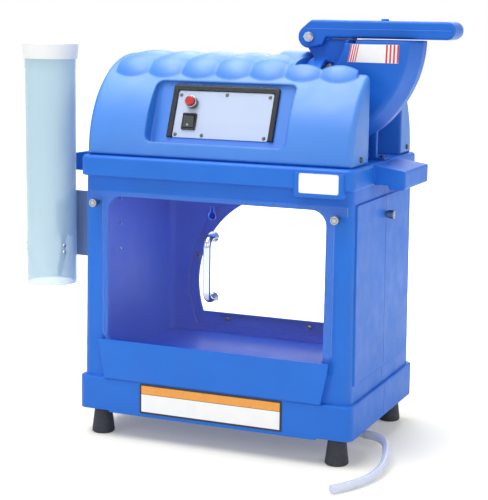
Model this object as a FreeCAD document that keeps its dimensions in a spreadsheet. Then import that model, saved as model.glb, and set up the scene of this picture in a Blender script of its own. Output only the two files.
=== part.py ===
import FreeCAD
import Part
import Sketcher
import math
import os
import re

# Electric ice shaver with a moulded plastic cabinet.
# Frame: origin on the floor, under the middle of the whole machine with its cup tube, lever and
# guard handle, X to the operator's right, Y away from the operator, Z up.  Millimetres.
# Every piece is drawn about the middle of the four feet, and is then carried to the frame.

Vector = FreeCAD.Vector

SIZES = [
    # place in the frame
    ("frame_right", 11.5, "origin to the middle of the feet, sideways"),
    ("frame_back", 13, "origin to the middle of the feet, front to back"),
    # cabinet
    ("foot_height", 46, "floor to the underside of the base"),
    ("foot_top_radius", 14, "rubber foot where it meets the base"),
    ("foot_tread_radius", 19, "rubber foot near the floor"),
    ("foot_spread_x", 210, "middle of the cabinet to a foot, sideways"),
    ("foot_spread_y", 139, "middle of the cabinet to a foot, front to back"),
    ("base_half_width", 241.5, "half the width of the base"),
    ("base_half_depth", 168, "half the depth of the base"),
    ("base_height", 56, "height of the base moulding"),
    ("base_corner", 14, "upright corner radius of the mouldings"),
    ("base_wall", 11.5, "wall of the base moulding"),
    ("step_rise", 5, "raised middle of the base's front edge"),
    ("step_half_width", 132, "half the width of that raised part"),
    ("valance_drop", 3, "lowered lower edge between the front feet"),
    ("valance_half_width", 183, "half the width of the lowered edge"),
    ("body_half_width", 235.5, "half the body's width where it leaves the base"),
    ("body_half_depth", 161.5, "half the body's depth where it leaves the base"),
    ("draft", 0.57, "mould draft of the upright walls, degrees"),
    ("wall", 7.5, "moulded wall at its foot; the draft thins it toward the rim"),
    ("floor_thickness", 5.5, "floor of the ice bin and the deck over it"),
    ("rim_bottom", 440, "height of the rim's lower edge"),
    ("rim_height", 33, "height of the rim"),
    ("rim_half_width", 236, "half the width of the rim"),
    ("rim_half_depth", 171, "half the depth of the rim"),
    ("rim_edge", 6, "rounding of the rim's upper edge"),
    ("floor_level", 119, "height of the ice bin's floor"),
    ("panel_proud", 3, "how far the side panels stand out"),
    ("panel_bottom", 131, "lower edge of the side panels"),
    ("panel_top", 416, "upper edge of the side panels"),
    ("panel_front", 146, "side panel's front edge, before the middle"),
    ("panel_rear", 128, "side panel's rear edge, behind the middle"),
    # front opening and apron
    ("mouth_half_width", 190, "half the width of the front opening"),
    ("mouth_bottom", 152, "lower edge of the front opening"),
    ("mouth_top", 407, "upper edge of the front opening"),
    ("mouth_corner", 25, "corner radius of the front opening"),
    ("apron_half_top", 203, "half the apron's width at its lip"),
    ("apron_half_bottom", 191, "half the apron's width at the base"),
    ("apron_top", 168, "height of the apron's lip"),
    ("apron_proud", 9.5, "how far the apron stands out from the wall"),
    ("slot_width", 6.5, "slot behind the lip that holds the guard's lower edge"),
    # rear window
    ("window_radius", 170, "radius of the window's round top"),
    ("window_centre", 213, "height of that round's centre"),
    ("window_bottom", 157, "lower edge of the window"),
    ("pane_margin", 18, "how far the pane laps over the wall"),
    ("pane_thickness", 3, "clear pane"),
    ("pane_recess", 2, "depth of the pane's seat in the wall"),
    ("pane_screw_inset", 12, "pane screws, in from the pane's edge"),
    # carry handles and label pad
    ("handle_front", 68, "front face of a carry handle, before the middle"),
    ("handle_rear", 64, "rear face of a carry handle, behind the middle"),
    ("handle_reach_right", 51, "right handle beyond the rim"),
    ("handle_reach_left", 67, "left handle beyond the rim"),
    ("handle_fall", 8, "fall of the handle's top over its reach"),
    ("handle_lip", 25, "width of the lip the fingers hook behind"),
    ("handle_lip_drop", 6.5, "lip below the handle's web"),
    ("pad_left", 141, "label pad's left edge"),
    ("pad_right", 222, "label pad's right edge"),
    ("pad_drop", 12, "label pad below the rim"),
    ("pad_proud", 3, "label pad in front of the rim"),
    # motor housing
    ("dome_radius", 158.5, "round of the motor housing"),
    ("dome_half_length", 229, "half the length of the motor housing"),
    ("dome_skirt", 3.5, "straight skirt under the round"),
    ("dome_wall", 5, "wall of the motor housing"),
    ("dome_edge", 8, "rounding of its end edges"),
    ("seam_depth", 2.5, "shadow groove over the rim"),
    ("seam_height", 3, "height of the shadow groove"),
    ("lug_front", 116, "housing's front lugs, before the middle"),
    ("lug_rear", 131, "housing's rear lugs, behind the middle"),
    ("lug_half", 8, "half the width of a lug"),
    ("lug_level", 11, "lug screws over the deck"),
    ("lobe_pitch", 60, "spacing of the flutes along the housing"),
    ("lobe_rise", 6, "height of a flute over the valley beside it"),
    ("lobe_count", 7, "number of flutes"),
    ("lobe_radius", 302, "curve of the flutes from front to back"),
    ("lobe_top", 640.5, "height of the flutes"),
    ("lobe_nose", 48, "radius at the front and rear ends of the flutes"),
    ("lobe_half_run", 64, "middle to where a flute starts to fall away"),
    ("bay_left", 104, "end wall of the hopper bay"),
    ("bay_front", 80, "front wall of the bay, before the middle"),
    ("bay_rear", 96, "rear wall of the bay, behind the middle"),
    ("collar_width", 49, "raised collar beside the bay"),
    ("collar_radius", 89, "radius of the raised collar"),
    ("drive_offset", 4, "drive line and lever behind the middle"),
    ("drive_height", 556, "height of the drive line"),
    # control panel
    ("console_tilt", 21.5, "lean of the control panel from upright"),
    ("console_x", -3, "middle of the control panel's recess"),
    ("console_y", -120.5, "control plate's face at its middle, front to back"),
    ("console_z", 543, "height of the control plate's middle"),
    ("recess_half_width", 122, "half the width of the recess"),
    ("recess_half_height", 54, "half the height of the recess"),
    ("recess_corner", 12, "corner radius of the recess"),
    ("plate_half_width", 83, "half the width of the control plate"),
    ("plate_half_height", 39.5, "half the height of the control plate"),
    ("plate_thickness", 2, "control plate"),
    ("trim_width", 9, "width of the rubber trim"),
    ("trim_proud", 3, "trim in front of the plate"),
    ("button_u", -56, "button, along the plate"),
    ("button_v", 19, "button, up the plate"),
    ("button_radius", 7.7, "red push button"),
    ("button_collar_radius", 10, "chrome collar"),
    ("button_collar_height", 9, "chrome collar"),
    ("button_proud", 16, "button's face in front of the plate"),
    ("button_travel", 4, "stroke of the button"),
    ("rocker_u", -56.5, "rocker switch, along the plate"),
    ("rocker_v", -12.5, "rocker switch, up the plate"),
    ("bezel_half_width", 12.2, "half the rocker's bezel"),
    ("bezel_half_height", 14, "half the rocker's bezel"),
    ("bezel_proud", 2.5, "bezel in front of the plate"),
    ("rocker_half_width", 9.3, "half the rocker"),
    ("rocker_half_height", 10.5, "half the rocker"),
    ("rocker_throw", 16, "rocker's travel, degrees"),
    ("rocker_depth", 2, "rocker's pins behind the plate's face"),
    ("running_clearance", 0.05, "radial clearance of turning and sliding fits"),
    ("moulded_clearance", 0.3, "clearance between moulded pieces that move"),
    ("screw_clearance", 0.1, "clearance around a fastener"),
    # drive
    ("motor_radius", 60, "motor"),
    ("motor_length", 150, "motor between its end bells"),
    ("motor_gap", 34, "motor's front bell to the bay wall"),
    ("bell_length", 22, "length of an end bell"),
    ("shaft_radius", 8, "motor shaft"),
    ("cradle_length", 110, "motor cradle"),
    ("cradle_height", 15, "motor cradle"),
    ("cradle_half_width", 46, "half the motor cradle"),
    ("motor_bolt_along", 40, "cradle's middle to a motor bolt, sideways"),
    ("motor_bolt_across", 36, "drive line to a motor bolt"),
    ("spindle_radius", 5, "threaded end of the shaft"),
    ("disc_radius", 70, "cutter disc"),
    ("disc_thickness", 5, "cutter disc"),
    ("chamber_depth", 23, "space behind the cutter disc"),
    ("blade_count", 3, "blades on the cutter disc"),
    ("blade_length", 46, "blade"),
    ("blade_width", 16, "blade"),
    ("blade_thickness", 2.2, "blade"),
    ("blade_lift", 1, "cutting edge over the disc"),
    ("blade_slot_start", 14, "drive line to the inner end of a blade's slot"),
    ("blade_slot_width", 7, "slot before a blade"),
    ("blade_screw_inset", 10, "blade screws, in from the slot's ends"),
    ("chute_half_width", 54, "half the chute under the cutter"),
    ("chute_drop", 48, "chute below the deck"),
    # hopper
    ("pivot_x", 105, "lever pivot"),
    ("pivot_z", 669, "lever pivot"),
    ("hopper_radius", 187, "hopper's round back, about the lever pivot"),
    ("hopper_face_radius", 173, "the same at the hopper's front and rear faces"),
    ("hopper_half_width", 52, "half the hopper's width"),
    ("hopper_band", 10, "half the straight band round the hopper's back"),
    ("hopper_wall", 4, "hopper wall"),
    ("hopper_edge", 10, "rounding of the hopper's face edges"),
    ("hopper_mouth", 665, "height of the hopper's rim"),
    ("drum_wall", 5, "wall of the cutter drum"),
    ("hub_relief", 70, "hollow round the pivot for the lever's hub"),
    ("neck_half_width", 19, "half the hopper neck between the lever's cheeks"),
    ("ear_radius", 13, "ear round the pivot bolt"),
    ("deck_foot", 3, "chute flange on the deck"),
    ("tab_half_width", 76, "half the width of the hopper's tabs on the deck"),
    ("tab_length", 30, "length of those tabs"),
    ("tab_thickness", 4, "those tabs"),
    ("deck_screw_near", 8, "first deck screws from the bay's end wall"),
    ("deck_screw_far", 22, "second deck screws from the bay's end wall"),
    ("deck_screw_spread", 66, "drive line to a deck screw"),
    ("drum_foot_half", 58, "half the foot under the cutter drum"),
    ("drum_foot_height", 36, "that foot over the deck"),
    ("post_x", 211, "rib that carries the hopper on the deck"),
    ("post_half_length", 5.5, "half the rib's length"),
    ("post_half_width", 4, "half the rib's thickness"),
    ("post_screw", 14, "rib's middle to its screw"),
    # lever and pusher
    ("lever_half_width", 27.5, "half the lever's width"),
    ("lever_top", 696, "upper face of the lever"),
    ("lever_under", 667.7, "lower face of the lever"),
    ("lever_end", 347, "tip of the lever"),
    ("hub_radius", 18, "lever's hub"),
    ("cheek_end", 24, "pivot to where the cheeks join"),
    ("pivot_bolt_radius", 4, "pivot bolt"),
    ("pivot_bolt_head", 5.5, "height of the bolt's hexagon head"),
    ("bush_radius", 7, "bush in each cheek"),
    ("pusher_x", 138, "pusher plate's face, lever down"),
    ("pusher_thickness", 4, "pusher plate"),
    ("pusher_stem_half", 12, "half the pusher's stem"),
    ("pusher_half_width", 44, "half the pusher plate"),
    ("pusher_top", 599, "upper edge of the pusher plate"),
    ("pusher_bottom", 519, "lower edge of the pusher plate"),
    ("pusher_flange", 36, "pusher's flange under the lever"),
    ("lever_swing", 110, "lever's travel, degrees"),
    # guard
    ("guard_shift", 4, "guard's middle, to the right of the cabinet's"),
    ("guard_half_width", 201, "half the guard"),
    ("guard_ear_half", 222, "half the guard over its ears"),
    ("guard_top", 415, "upper edge of the guard"),
    ("guard_bottom", 150, "lower edge of the guard"),
    ("guard_thickness", 3, "clear guard"),
    ("guard_lift", 12, "lift of the guard on its knobs"),
    ("guard_gap", 1.8, "guard in front of the wall at the mouth's foot"),
    ("ear_clearance", 1.5, "guard's ear over the shank of its knob"),
    ("guard_chamfer_width", 17, "cut at the guard's lower corners"),
    ("guard_chamfer_height", 30, "cut at the guard's lower corners"),
    ("keyhole_level", 387, "round of the guard's keyhole"),
    ("keyhole_radius", 6.5, "round of the guard's keyhole"),
    ("keyhole_slot", 2.6, "half the keyhole's slot"),
    ("keyhole_top", 402, "upper end of the keyhole's slot"),
    ("knob_spread", 209, "middle to a guard knob"),
    ("knob_level", 395.5, "height of the guard knobs"),
    ("knob_shank", 3.5, "knob's shank"),
    ("knob_head", 6.4, "knob's knurled head"),
    ("knob_head_length", 9, "knob's knurled head"),
    ("knob_shank_length", 9.5, "shank between wall and head"),
    ("side_knob_level", 385, "height of the side knob"),
    ("grip_radius", 6, "guard handle's bar"),
    ("grip_bottom", 250, "lower end of the guard handle"),
    ("grip_top", 360, "upper end of the guard handle"),
    ("grip_standoff", 26, "guard to the middle of the bar"),
    ("grip_bend", 14, "bend of the bar into its feet"),
    # cup dispenser
    ("tube_x", -322, "cup tube"),
    ("tube_y", -116, "cup tube"),
    ("tube_radius", 42.5, "cup tube"),
    ("tube_wall", 2, "cup tube"),
    ("tube_bottom", 245, "lower end of the cup tube"),
    ("tube_top", 649.5, "upper end of the cup tube"),
    ("cap_radius", 47.5, "cap at its top"),
    ("cap_skirt_radius", 45.3, "cap at its lower edge"),
    ("cap_height", 27, "cap"),
    ("cap_roof", 3, "thickness of the cap's top"),
    ("cap_travel", 45, "lift that clears the tube"),
    ("bracket_thickness", 2, "bracket sheet"),
    ("bracket_bottom", 287, "bracket"),
    ("bracket_top", 400, "bracket"),
    ("bracket_tab_half", 17.5, "half the tab behind the tube"),
    ("bracket_tab_bottom", 319, "tab behind the tube"),
    ("bracket_tab_top", 381, "tab behind the tube"),
    ("bracket_flange", 52, "flange on the cabinet's side"),
    ("bracket_screw_radius", 1.8, "screws through that flange"),
    ("bracket_screw_inset", 13, "outer screws from the flange's ends"),
    ("bracket_screw_middle", 343, "middle screw of the flange"),
    ("bracket_screw_back", 28, "those screws behind the flange's bend"),
    ("finger_width", 9, "cup finger"),
    ("finger_thickness", 1.2, "cup finger"),
    ("finger_top", 328, "upper end of a cup finger"),
    ("finger_knee", 297, "where a finger bends inward"),
    ("finger_tip", 258, "lower end of a finger"),
    ("finger_reach", 15, "finger's tip inward of the tube wall"),
    # drain
    ("drain_x", 192, "drain in the bin's floor"),
    ("drain_y", -50, "drain in the bin's floor"),
    ("drain_radius", 8, "drain pipe"),
    ("drain_level", 26, "height of the drain's outlet"),
    ("barb_radius", 5.6, "outlet barb"),
    ("barb_end", 226, "end of the outlet barb"),
    ("hose_radius", 7, "drain hose"),
    # sign plate
    ("sign_half_width", 126, "sign plate on the base"),
    ("sign_bottom", 49, "sign plate"),
    ("sign_top", 99.5, "sign plate"),
    ("sign_thickness", 1, "sign plate"),
]

# The drain hose lies on the floor: its route in the frame, from the barb to its open end.
HOSE_ROUTE = [
    (237.5, -37, 26), (249.5, -37, 26), (263.8, -41.6, 24.8), (275.6, -50.8, 23.4),
    (284.3, -64.2, 21.6), (291.1, -83, 19), (297.3, -106.2, 15.8), (301.8, -131.8, 12.2),
    (302.7, -158.8, 9.2), (299.4, -185.6, 7.4), (292.7, -210.7, 7), (282.5, -234.6, 7),
    (269.1, -256.9, 7), (262, -266, 7),
]

doc = FreeCAD.newDocument("IceShaver")
sheet = doc.addObject("Spreadsheet::Sheet", "Sizes")
for row, (alias, value, note) in enumerate(SIZES, start=1):
    sheet.set("A%d" % row, note)
    sheet.set("B%d" % row, str(value))
    sheet.setAlias("B%d" % row, alias)
doc.recompute()
ALIASES = {alias for alias, value, note in SIZES}
PIECES = []


# ---------------------------------------------------------------- helpers
def linked(text):
    """An expression with every size's name pointed at the sheet."""
    return re.sub(r"[a-z][a-z_]*", lambda m: "Sizes." + m.group(0) if m.group(0) in ALIASES else m.group(0),
                  text)


def size(text):
    """The present value of an expression of sizes."""
    if isinstance(text, str):
        return float(sheet.evalExpression(linked(text)))
    return float(text)


def bind(obj, path, text):
    """Tie a property to an expression, or set a plain number."""
    if not isinstance(text, str):
        text = str(text)
    obj.setExpression(path, linked(text))


def place(obj, x=0, y=0, z=0, turn=None):
    if turn is not None:
        obj.Placement = FreeCAD.Placement(Vector(), turn)
    for letter, value in zip("xyz", (x, y, z)):
        bind(obj, ".Placement.Base." + letter, value)
    return obj


TURN = {
    "Z": FreeCAD.Rotation(),
    "X": FreeCAD.Rotation(Vector(0, 1, 0), 90),
    "Y": FreeCAD.Rotation(Vector(1, 0, 0), -90),
    "-X": FreeCAD.Rotation(Vector(0, 1, 0), -90),
    "-Y": FreeCAD.Rotation(Vector(1, 0, 0), 90),
    "-Z": FreeCAD.Rotation(Vector(1, 0, 0), 180),
}


def box(name, low, high):
    """A block between two corners."""
    obj = doc.addObject("Part::Box", name)
    for path, a, b in zip(("Length", "Width", "Height"), low, high):
        bind(obj, path, "(%s) - (%s)" % (b, a))
    return place(obj, *low)


def rod(name, axis, at, radius, length):
    obj = doc.addObject("Part::Cylinder", name)
    bind(obj, "Radius", radius)
    bind(obj, "Height", length)
    return place(obj, *at, turn=TURN[axis])


def taper(name, axis, at, radius_start, radius_end, length):
    obj = doc.addObject("Part::Cone", name)
    bind(obj, "Radius1", radius_start)
    bind(obj, "Radius2", radius_end)
    bind(obj, "Height", length)
    return place(obj, *at, turn=TURN[axis])


def hexagon(name, axis, at, across, length):
    obj = doc.addObject("Part::Prism", name)
    obj.Polygon = 6
    bind(obj, "Circumradius", "(%s) / cos(30) / 2" % across)
    bind(obj, "Height", length)
    return place(obj, *at, turn=TURN[axis])


def fused(name, parts):
    if len(parts) == 1:
        return parts[0]
    obj = doc.addObject("Part::MultiFuse", name)
    obj.Shapes = parts
    obj.Refine = True
    return obj


def cut(name, base, tools):
    obj = doc.addObject("Part::Cut", name)
    obj.Base = base
    obj.Tool = fused(name + "_tools", tools)
    obj.Refine = True
    return obj


def common(name, parts):
    obj = doc.addObject("Part::MultiCommon", name)
    obj.Shapes = parts
    return obj


def group(name, parts):
    """Equal loose solids of one node."""
    obj = doc.addObject("Part::Compound", name)
    obj.Links = parts
    return obj


def rounded(name, base, radius, wanted):
    """Round the edges of a finished solid for which wanted(edge) is true."""
    doc.recompute()
    obj = doc.addObject("Part::Fillet", name)
    obj.Base = base
    r = size(radius)
    obj.Edges = [(i, r, r) for i, edge in enumerate(base.Shape.Edges, start=1) if wanted(edge)]
    return obj


def piece(node, obj):
    """A finished piece, carried from the middle of the feet to the frame."""
    obj.Label = node
    for letter, shift in (("x", "frame_right"), ("y", "frame_back")):
        path = ".Placement.Base." + letter
        present = dict(obj.ExpressionEngine).get(path, "0")
        obj.setExpression(path, "(%s) + Sizes.%s" % (present, shift))
    PIECES.append((node, obj))
    return obj


def settle(feature):
    """Recompute, and stop where a feature fails."""
    doc.recompute()
    if "Invalid" in feature.State or feature.Shape.isNull():
        raise RuntimeError(feature.Label + " fails")
    return feature


def new_body(name):
    return doc.addObject("PartDesign::Body", name)


def origin_plane(body, role):
    return next(f for f in body.Origin.OriginFeatures if f.Role == role + "_Plane")


def add_arc(sketch, start, end, radius, side):
    """A minor arc from start to end that bulges to the left (1) or the right (-1)."""
    chord = end - start
    half = chord.Length / 2
    left = Vector(-chord.y, chord.x, 0).normalize()
    centre = (start + end) / 2 - left * side * math.sqrt(max(radius ** 2 - half ** 2, 0))
    first, last = (end, start) if side > 0 else (start, end)
    a0 = math.atan2(first.y - centre.y, first.x - centre.x)
    a1 = math.atan2(last.y - centre.y, last.x - centre.x)
    circle = Part.Circle(centre, Vector(0, 0, 1), radius)
    index = sketch.addGeometry(Part.ArcOfCircle(circle, a0, a1), False)
    return index, (2, 1) if side > 0 else (1, 2)


def lock(sketch, kind, geometry, point, text):
    index = sketch.addConstraint(Sketcher.Constraint(kind, -1, 1, geometry, point, size(text)))
    if isinstance(text, str):
        name = "p%d" % index
        sketch.renameConstraint(index, name)
        bind(sketch, "Constraints." + name, text)


def draw(sketch, loop):
    """One closed outline of corners (u, v), or (u, v, radius, side) where an arc leads on."""
    if loop[0] == "circle":
        u, v, radius = loop[1:]
        circle = Part.Circle(Vector(size(u), size(v), 0), Vector(0, 0, 1), size(radius))
        index = sketch.addGeometry(circle, False)
        lock(sketch, "DistanceX", index, 3, u)
        lock(sketch, "DistanceY", index, 3, v)
        k = sketch.addConstraint(Sketcher.Constraint("Radius", index, size(radius)))
        sketch.renameConstraint(k, "r%d" % k)
        bind(sketch, "Constraints.r%d" % k, radius)
        return
    corners = [Vector(size(c[0]), size(c[1]), 0) for c in loop]
    ends = []
    for i, corner in enumerate(loop):
        start, end = corners[i], corners[(i + 1) % len(loop)]
        if len(corner) == 4:
            ends.append(add_arc(sketch, start, end, size(corner[2]), corner[3]))
        else:
            ends.append((sketch.addGeometry(Part.LineSegment(start, end), False), (1, 2)))
    for i, corner in enumerate(loop):
        index, (first, last) = ends[i]
        following, (next_first, next_last) = ends[(i + 1) % len(loop)]
        sketch.addConstraint(Sketcher.Constraint("Coincident", index, last, following, next_first))
        lock(sketch, "DistanceX", index, first, corner[0])
        lock(sketch, "DistanceY", index, first, corner[1])
        if len(corner) == 4:
            k = sketch.addConstraint(Sketcher.Constraint("Radius", index, size(corner[2])))
            sketch.renameConstraint(k, "r%d" % k)
            bind(sketch, "Constraints.r%d" % k, corner[2])


def rounded_loop(u0, v0, u1, v1, radius):
    """A rectangle with round corners, from its low corner to its high corner."""
    a, b = "(%s) + (%s)", "(%s) - (%s)"
    left, right = a % (u0, radius), b % (u1, radius)
    low, high = a % (v0, radius), b % (v1, radius)
    return [
        (left, v0), (right, v0, radius, -1), (u1, low), (u1, high, radius, -1),
        (right, v1), (left, v1, radius, -1), (u0, high), (u0, low, radius, -1),
    ]


def sketched(body, role, level, loops):
    sketch = body.newObject("Sketcher::SketchObject", body.Name + "_sketch")
    sketch.AttachmentSupport = [(origin_plane(body, role), "")]
    sketch.MapMode = "FlatFace"
    bind(sketch, ".AttachmentOffset.Base.z", level)
    for loop in loops:
        draw(sketch, loop)
    return sketch


def pad(body, role, start, end, loops, draft=None):
    """Material between two levels.  Sketches on XZ look along +Y, so u is X and v is Z."""
    level = "-(%s)" % end if role == "XZ" else start
    feature = body.newObject("PartDesign::Pad", body.Name + "_pad")
    feature.Profile = sketched(body, role, level, loops)
    bind(feature, "Length", "(%s) - (%s)" % (end, start))
    if draft is not None:
        bind(feature, "TaperAngle", draft)
    return settle(feature)


def pocket(body, role, start, end, loops):
    """A cut between two levels."""
    level = "-(%s)" % end if role == "XZ" else start
    before = body.Shape.Volume
    feature = body.newObject("PartDesign::Pocket", body.Name + "_pocket")
    feature.Profile = sketched(body, role, level, loops)
    feature.Reversed = True
    bind(feature, "Length", "(%s) - (%s)" % (end, start))
    settle(feature)
    if not body.Shape.Volume < before - 1e-6:
        raise RuntimeError(body.Name + ": a pocket cuts nothing")
    return feature


def fillet(body, radius, wanted):
    """Round the edges of the body for which wanted(edge) is true."""
    doc.recompute()
    base = body.Tip
    names = ["Edge%d" % i for i, edge in enumerate(base.Shape.Edges, start=1) if wanted(edge)]
    feature = body.newObject("PartDesign::Fillet", body.Name + "_fillet")
    feature.Base = (base, names)
    bind(feature, "Radius", radius)
    return settle(feature)


def turned(name, profile, at=(0, 0, 0), axis="Z"):
    """A turned piece: profile corners are (radius, distance along the axis)."""
    body = new_body(name)
    feature = body.newObject("PartDesign::Revolution", name + "_turn")
    feature.Profile = sketched(body, "XZ", 0, [profile])
    feature.ReferenceAxis = (feature.Profile[0], ["V_Axis"])
    feature.Angle = 360
    place(body, *at, turn=TURN[axis])
    return body


def screw(name, axis, at, head, shank, head_length, shank_length):
    """A dome-headed screw: at is under its head, the axis points out of the head."""
    inward = {"X": "-X", "-X": "X", "Y": "-Y", "-Y": "Y", "Z": "-Z", "-Z": "Z"}[axis]
    top = taper(name + "_head", axis, at, head, "(%s) * 0.7" % head, head_length)
    stem = rod(name + "_stem", inward, at, shank, shank_length)
    return fused(name, [top, stem])


def level_edge(edge, axis, value):
    """True for an edge that lies in the plane axis = value."""
    box_ = edge.BoundBox
    low, high = getattr(box_, axis + "Min"), getattr(box_, axis + "Max")
    return abs(low - value) < 1e-4 and abs(high - value) < 1e-4


# ---------------------------------------------------------------- shared lines
BASE_TOP = "(foot_height + base_height)"
RIM_TOP = "(rim_bottom + rim_height)"
HOLD = "screw_clearance"


def wall_at(half, level):
    """Half width (or depth) of a drafted wall at a level above the base."""
    return "(%s - ((%s) - %s) * tan(draft))" % (half, level, BASE_TOP)


CAVITY_WIDTH = "(body_half_width - wall)"
CAVITY_DEPTH = "(body_half_depth - wall)"
PANEL_HALF = "(body_half_width + panel_proud)"
GUARD_BACK = "(body_half_depth - 1 + guard_gap)"
GUARD_FACE = "(%s + guard_thickness)" % GUARD_BACK
WINDOW_SEAT = "(%s + pane_recess)" % CAVITY_DEPTH


def window_loop(radius, low):
    """A round-topped window: its radius and the height of its flat lower edge."""
    half = "sqrt((%s)^2 - (window_centre - (%s))^2)" % (radius, low)
    top = "window_centre + (%s)" % radius
    return [
        ("-(%s)" % half, low), (half, low, radius, -1), (radius, "window_centre", radius, -1),
        (0, top, radius, -1), ("-(%s)" % radius, "window_centre", radius, -1),
    ]


PANE_RADIUS = "(window_radius + pane_margin)"
PANE_BOTTOM = "(window_bottom - pane_margin - 5)"
FEET = [(sx, sy) for sx in (-1, 1) for sy in (-1, 1)]


def signed(sign, text):
    return ("-(%s)" if sign < 0 else "(%s)") % text


PANE_SCREWS = [
    ("-(window_radius * 0.994)", "window_centre + 48"),
    ("window_radius * 0.994", "window_centre + 48"),
    ("0", "window_centre + window_radius + pane_margin - pane_screw_inset"),
    ("-109", PANE_BOTTOM + " + pane_screw_inset"),
    ("52", PANE_BOTTOM + " + pane_screw_inset"),
]
DRUM_RADIUS = "(drive_height - %s - deck_foot)" % RIM_TOP
CHUTE_LEFT, CHUTE_RIGHT = "(bay_left + 2)", "(bay_left + 24)"
CHUTE_HALF = "chute_half_width"
DECK_SCREWS = [(x, y) for x in ("bay_left + deck_screw_near", "bay_left + deck_screw_far")
               for y in ("drive_offset - deck_screw_spread", "drive_offset + deck_screw_spread")]
MOTOR_RIGHT = "(bay_left - motor_gap)"
MOTOR_LEFT = "(%s - motor_length - 2 * bell_length)" % MOTOR_RIGHT
CRADLE_MIDDLE = "(%s - bell_length - motor_length / 2)" % MOTOR_RIGHT
CRADLE_TOP = "(%s + cradle_height)" % RIM_TOP
MOTOR_BOLTS = [("%s + %s" % (CRADLE_MIDDLE, signed(sx, "motor_bolt_along")),
                "drive_offset + " + signed(sy, "motor_bolt_across")) for sx in (-1, 1) for sy in (-1, 1)]
DOME_LUGS = [(sx, y) for sx in (-1, 1) for y in ("-lug_front", "lug_rear")]
LUG_HEIGHT = "%s + lug_level" % RIM_TOP
BRACKET_FACE = "(tube_y + tube_radius)"
BRACKET_SCREWS = ["bracket_bottom + bracket_screw_inset", "bracket_screw_middle",
                  "bracket_top - bracket_screw_inset"]


# ---------------------------------------------------------------- cabinet
shell = new_body("cabinet")
base_loop = rounded_loop("-base_half_width", "-base_half_depth", "base_half_width", "base_half_depth",
                         "base_corner")
pad(shell, "XY", "foot_height", BASE_TOP, [base_loop])
fillet(shell, 3, lambda e: level_edge(e, "Z", size(BASE_TOP)))
body_loop = rounded_loop("-body_half_width", "-body_half_depth", "body_half_width", "body_half_depth",
                         "base_corner")
pad(shell, "XY", BASE_TOP, "rim_bottom", [body_loop], "-draft")
panel_half = wall_at(PANEL_HALF, "panel_bottom")
panel_loop = rounded_loop("-" + panel_half, "-panel_front", panel_half, "panel_rear", 3)
pad(shell, "XY", "panel_bottom", "panel_top", [panel_loop], "-draft")
rim_loop = rounded_loop("-rim_half_width", "-rim_half_depth", "rim_half_width", "rim_half_depth",
                        "base_corner")
pad(shell, "XY", "rim_bottom", RIM_TOP, [rim_loop])
fillet(shell, "rim_edge", lambda e: level_edge(e, "Z", size(RIM_TOP)))
fillet(shell, 2.5, lambda e: level_edge(e, "Z", size("rim_bottom")) and (
    max(e.BoundBox.XMax, -e.BoundBox.XMin) > size("rim_half_width") - 0.1
    or max(e.BoundBox.YMax, -e.BoundBox.YMin) > size("rim_half_depth") - 0.1))
STEP = [("-step_half_width", "foot_height"), ("step_half_width", "foot_height"),
        ("step_half_width", BASE_TOP + " + step_rise"), ("-step_half_width", BASE_TOP + " + step_rise")]
pad(shell, "XZ", "-base_half_depth", "-body_half_depth + 2", [STEP])
VALANCE = [("-valance_half_width", "foot_height - valance_drop"),
           ("valance_half_width", "foot_height - valance_drop"),
           ("valance_half_width + 6", "foot_height + 6"), ("-valance_half_width - 6", "foot_height + 6")]
pad(shell, "XZ", "-base_half_depth", "-base_half_depth + 11", [VALANCE])
APRON = [("-apron_half_bottom", BASE_TOP), ("apron_half_bottom", BASE_TOP),
         ("apron_half_top - 3", "apron_top - 22"), ("apron_half_top", "apron_top"),
         ("-apron_half_top", "apron_top"), ("-apron_half_top + 3", "apron_top - 22")]
pad(shell, "XZ", "-body_half_depth - apron_proud", "-body_half_depth + 3", [APRON])
LABEL_PAD = rounded_loop("pad_left", "rim_bottom - pad_drop", "pad_right", RIM_TOP + " - 7", 3)
pad(shell, "XZ", "-rim_half_depth - pad_proud", "-rim_half_depth + 14", [LABEL_PAD])
for side, reach in ((1, "handle_reach_right"), (-1, "handle_reach_left")):
    end = "rim_half_width + " + reach
    corners = [("rim_half_width - 10", "rim_bottom + 1"), (end + " - handle_lip - 3", "rim_bottom + 1"),
               (end + " - handle_lip", "rim_bottom + 1 - handle_lip_drop"),
               (end, "rim_bottom + 1 - handle_lip_drop"), (end, RIM_TOP + " - 1 - handle_fall"),
               ("rim_half_width - 10", RIM_TOP + " - 0.5")]
    if side < 0:
        corners = [("-(%s)" % u, v) for u, v in reversed(corners)]
    pad(shell, "XZ", "-handle_front", "handle_rear", [corners])
fillet(shell, 4, lambda e: abs(e.BoundBox.XMax) > size("rim_half_width + handle_reach_right") - 0.01
       and e.BoundBox.XLength < 0.01 or abs(e.BoundBox.XMin) > size("rim_half_width + handle_reach_left")
       - 0.01 and e.BoundBox.XLength < 0.01)
inner = rounded_loop("-" + CAVITY_WIDTH, "-" + CAVITY_DEPTH, CAVITY_WIDTH, CAVITY_DEPTH, "base_corner")
pocket(shell, "XY", "floor_level", RIM_TOP + " - floor_thickness", [inner])
under = rounded_loop("-base_half_width + base_wall", "-base_half_depth + base_wall",
                     "base_half_width - base_wall", "base_half_depth - base_wall", 6)
pocket(shell, "XY", "foot_height - valance_drop - 1", "floor_level - floor_thickness", [under])
for sx, sy in FEET:
    boss = [("circle", signed(sx, "foot_spread_x"), signed(sy, "foot_spread_y"), "foot_top_radius + 3")]
    pad(shell, "XY", "foot_height", "floor_level - floor_thickness + 1", boss)
mouth = rounded_loop("-mouth_half_width", "mouth_bottom", "mouth_half_width", "mouth_top", "mouth_corner")
pocket(shell, "XZ", "-(%s) - slot_width + 1" % "body_half_depth", "-body_half_depth + wall + 4", [mouth])
SLOT_LEFT = "guard_shift - guard_half_width - 2"
SLOT_RIGHT = "guard_shift + guard_half_width + 2"
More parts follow.
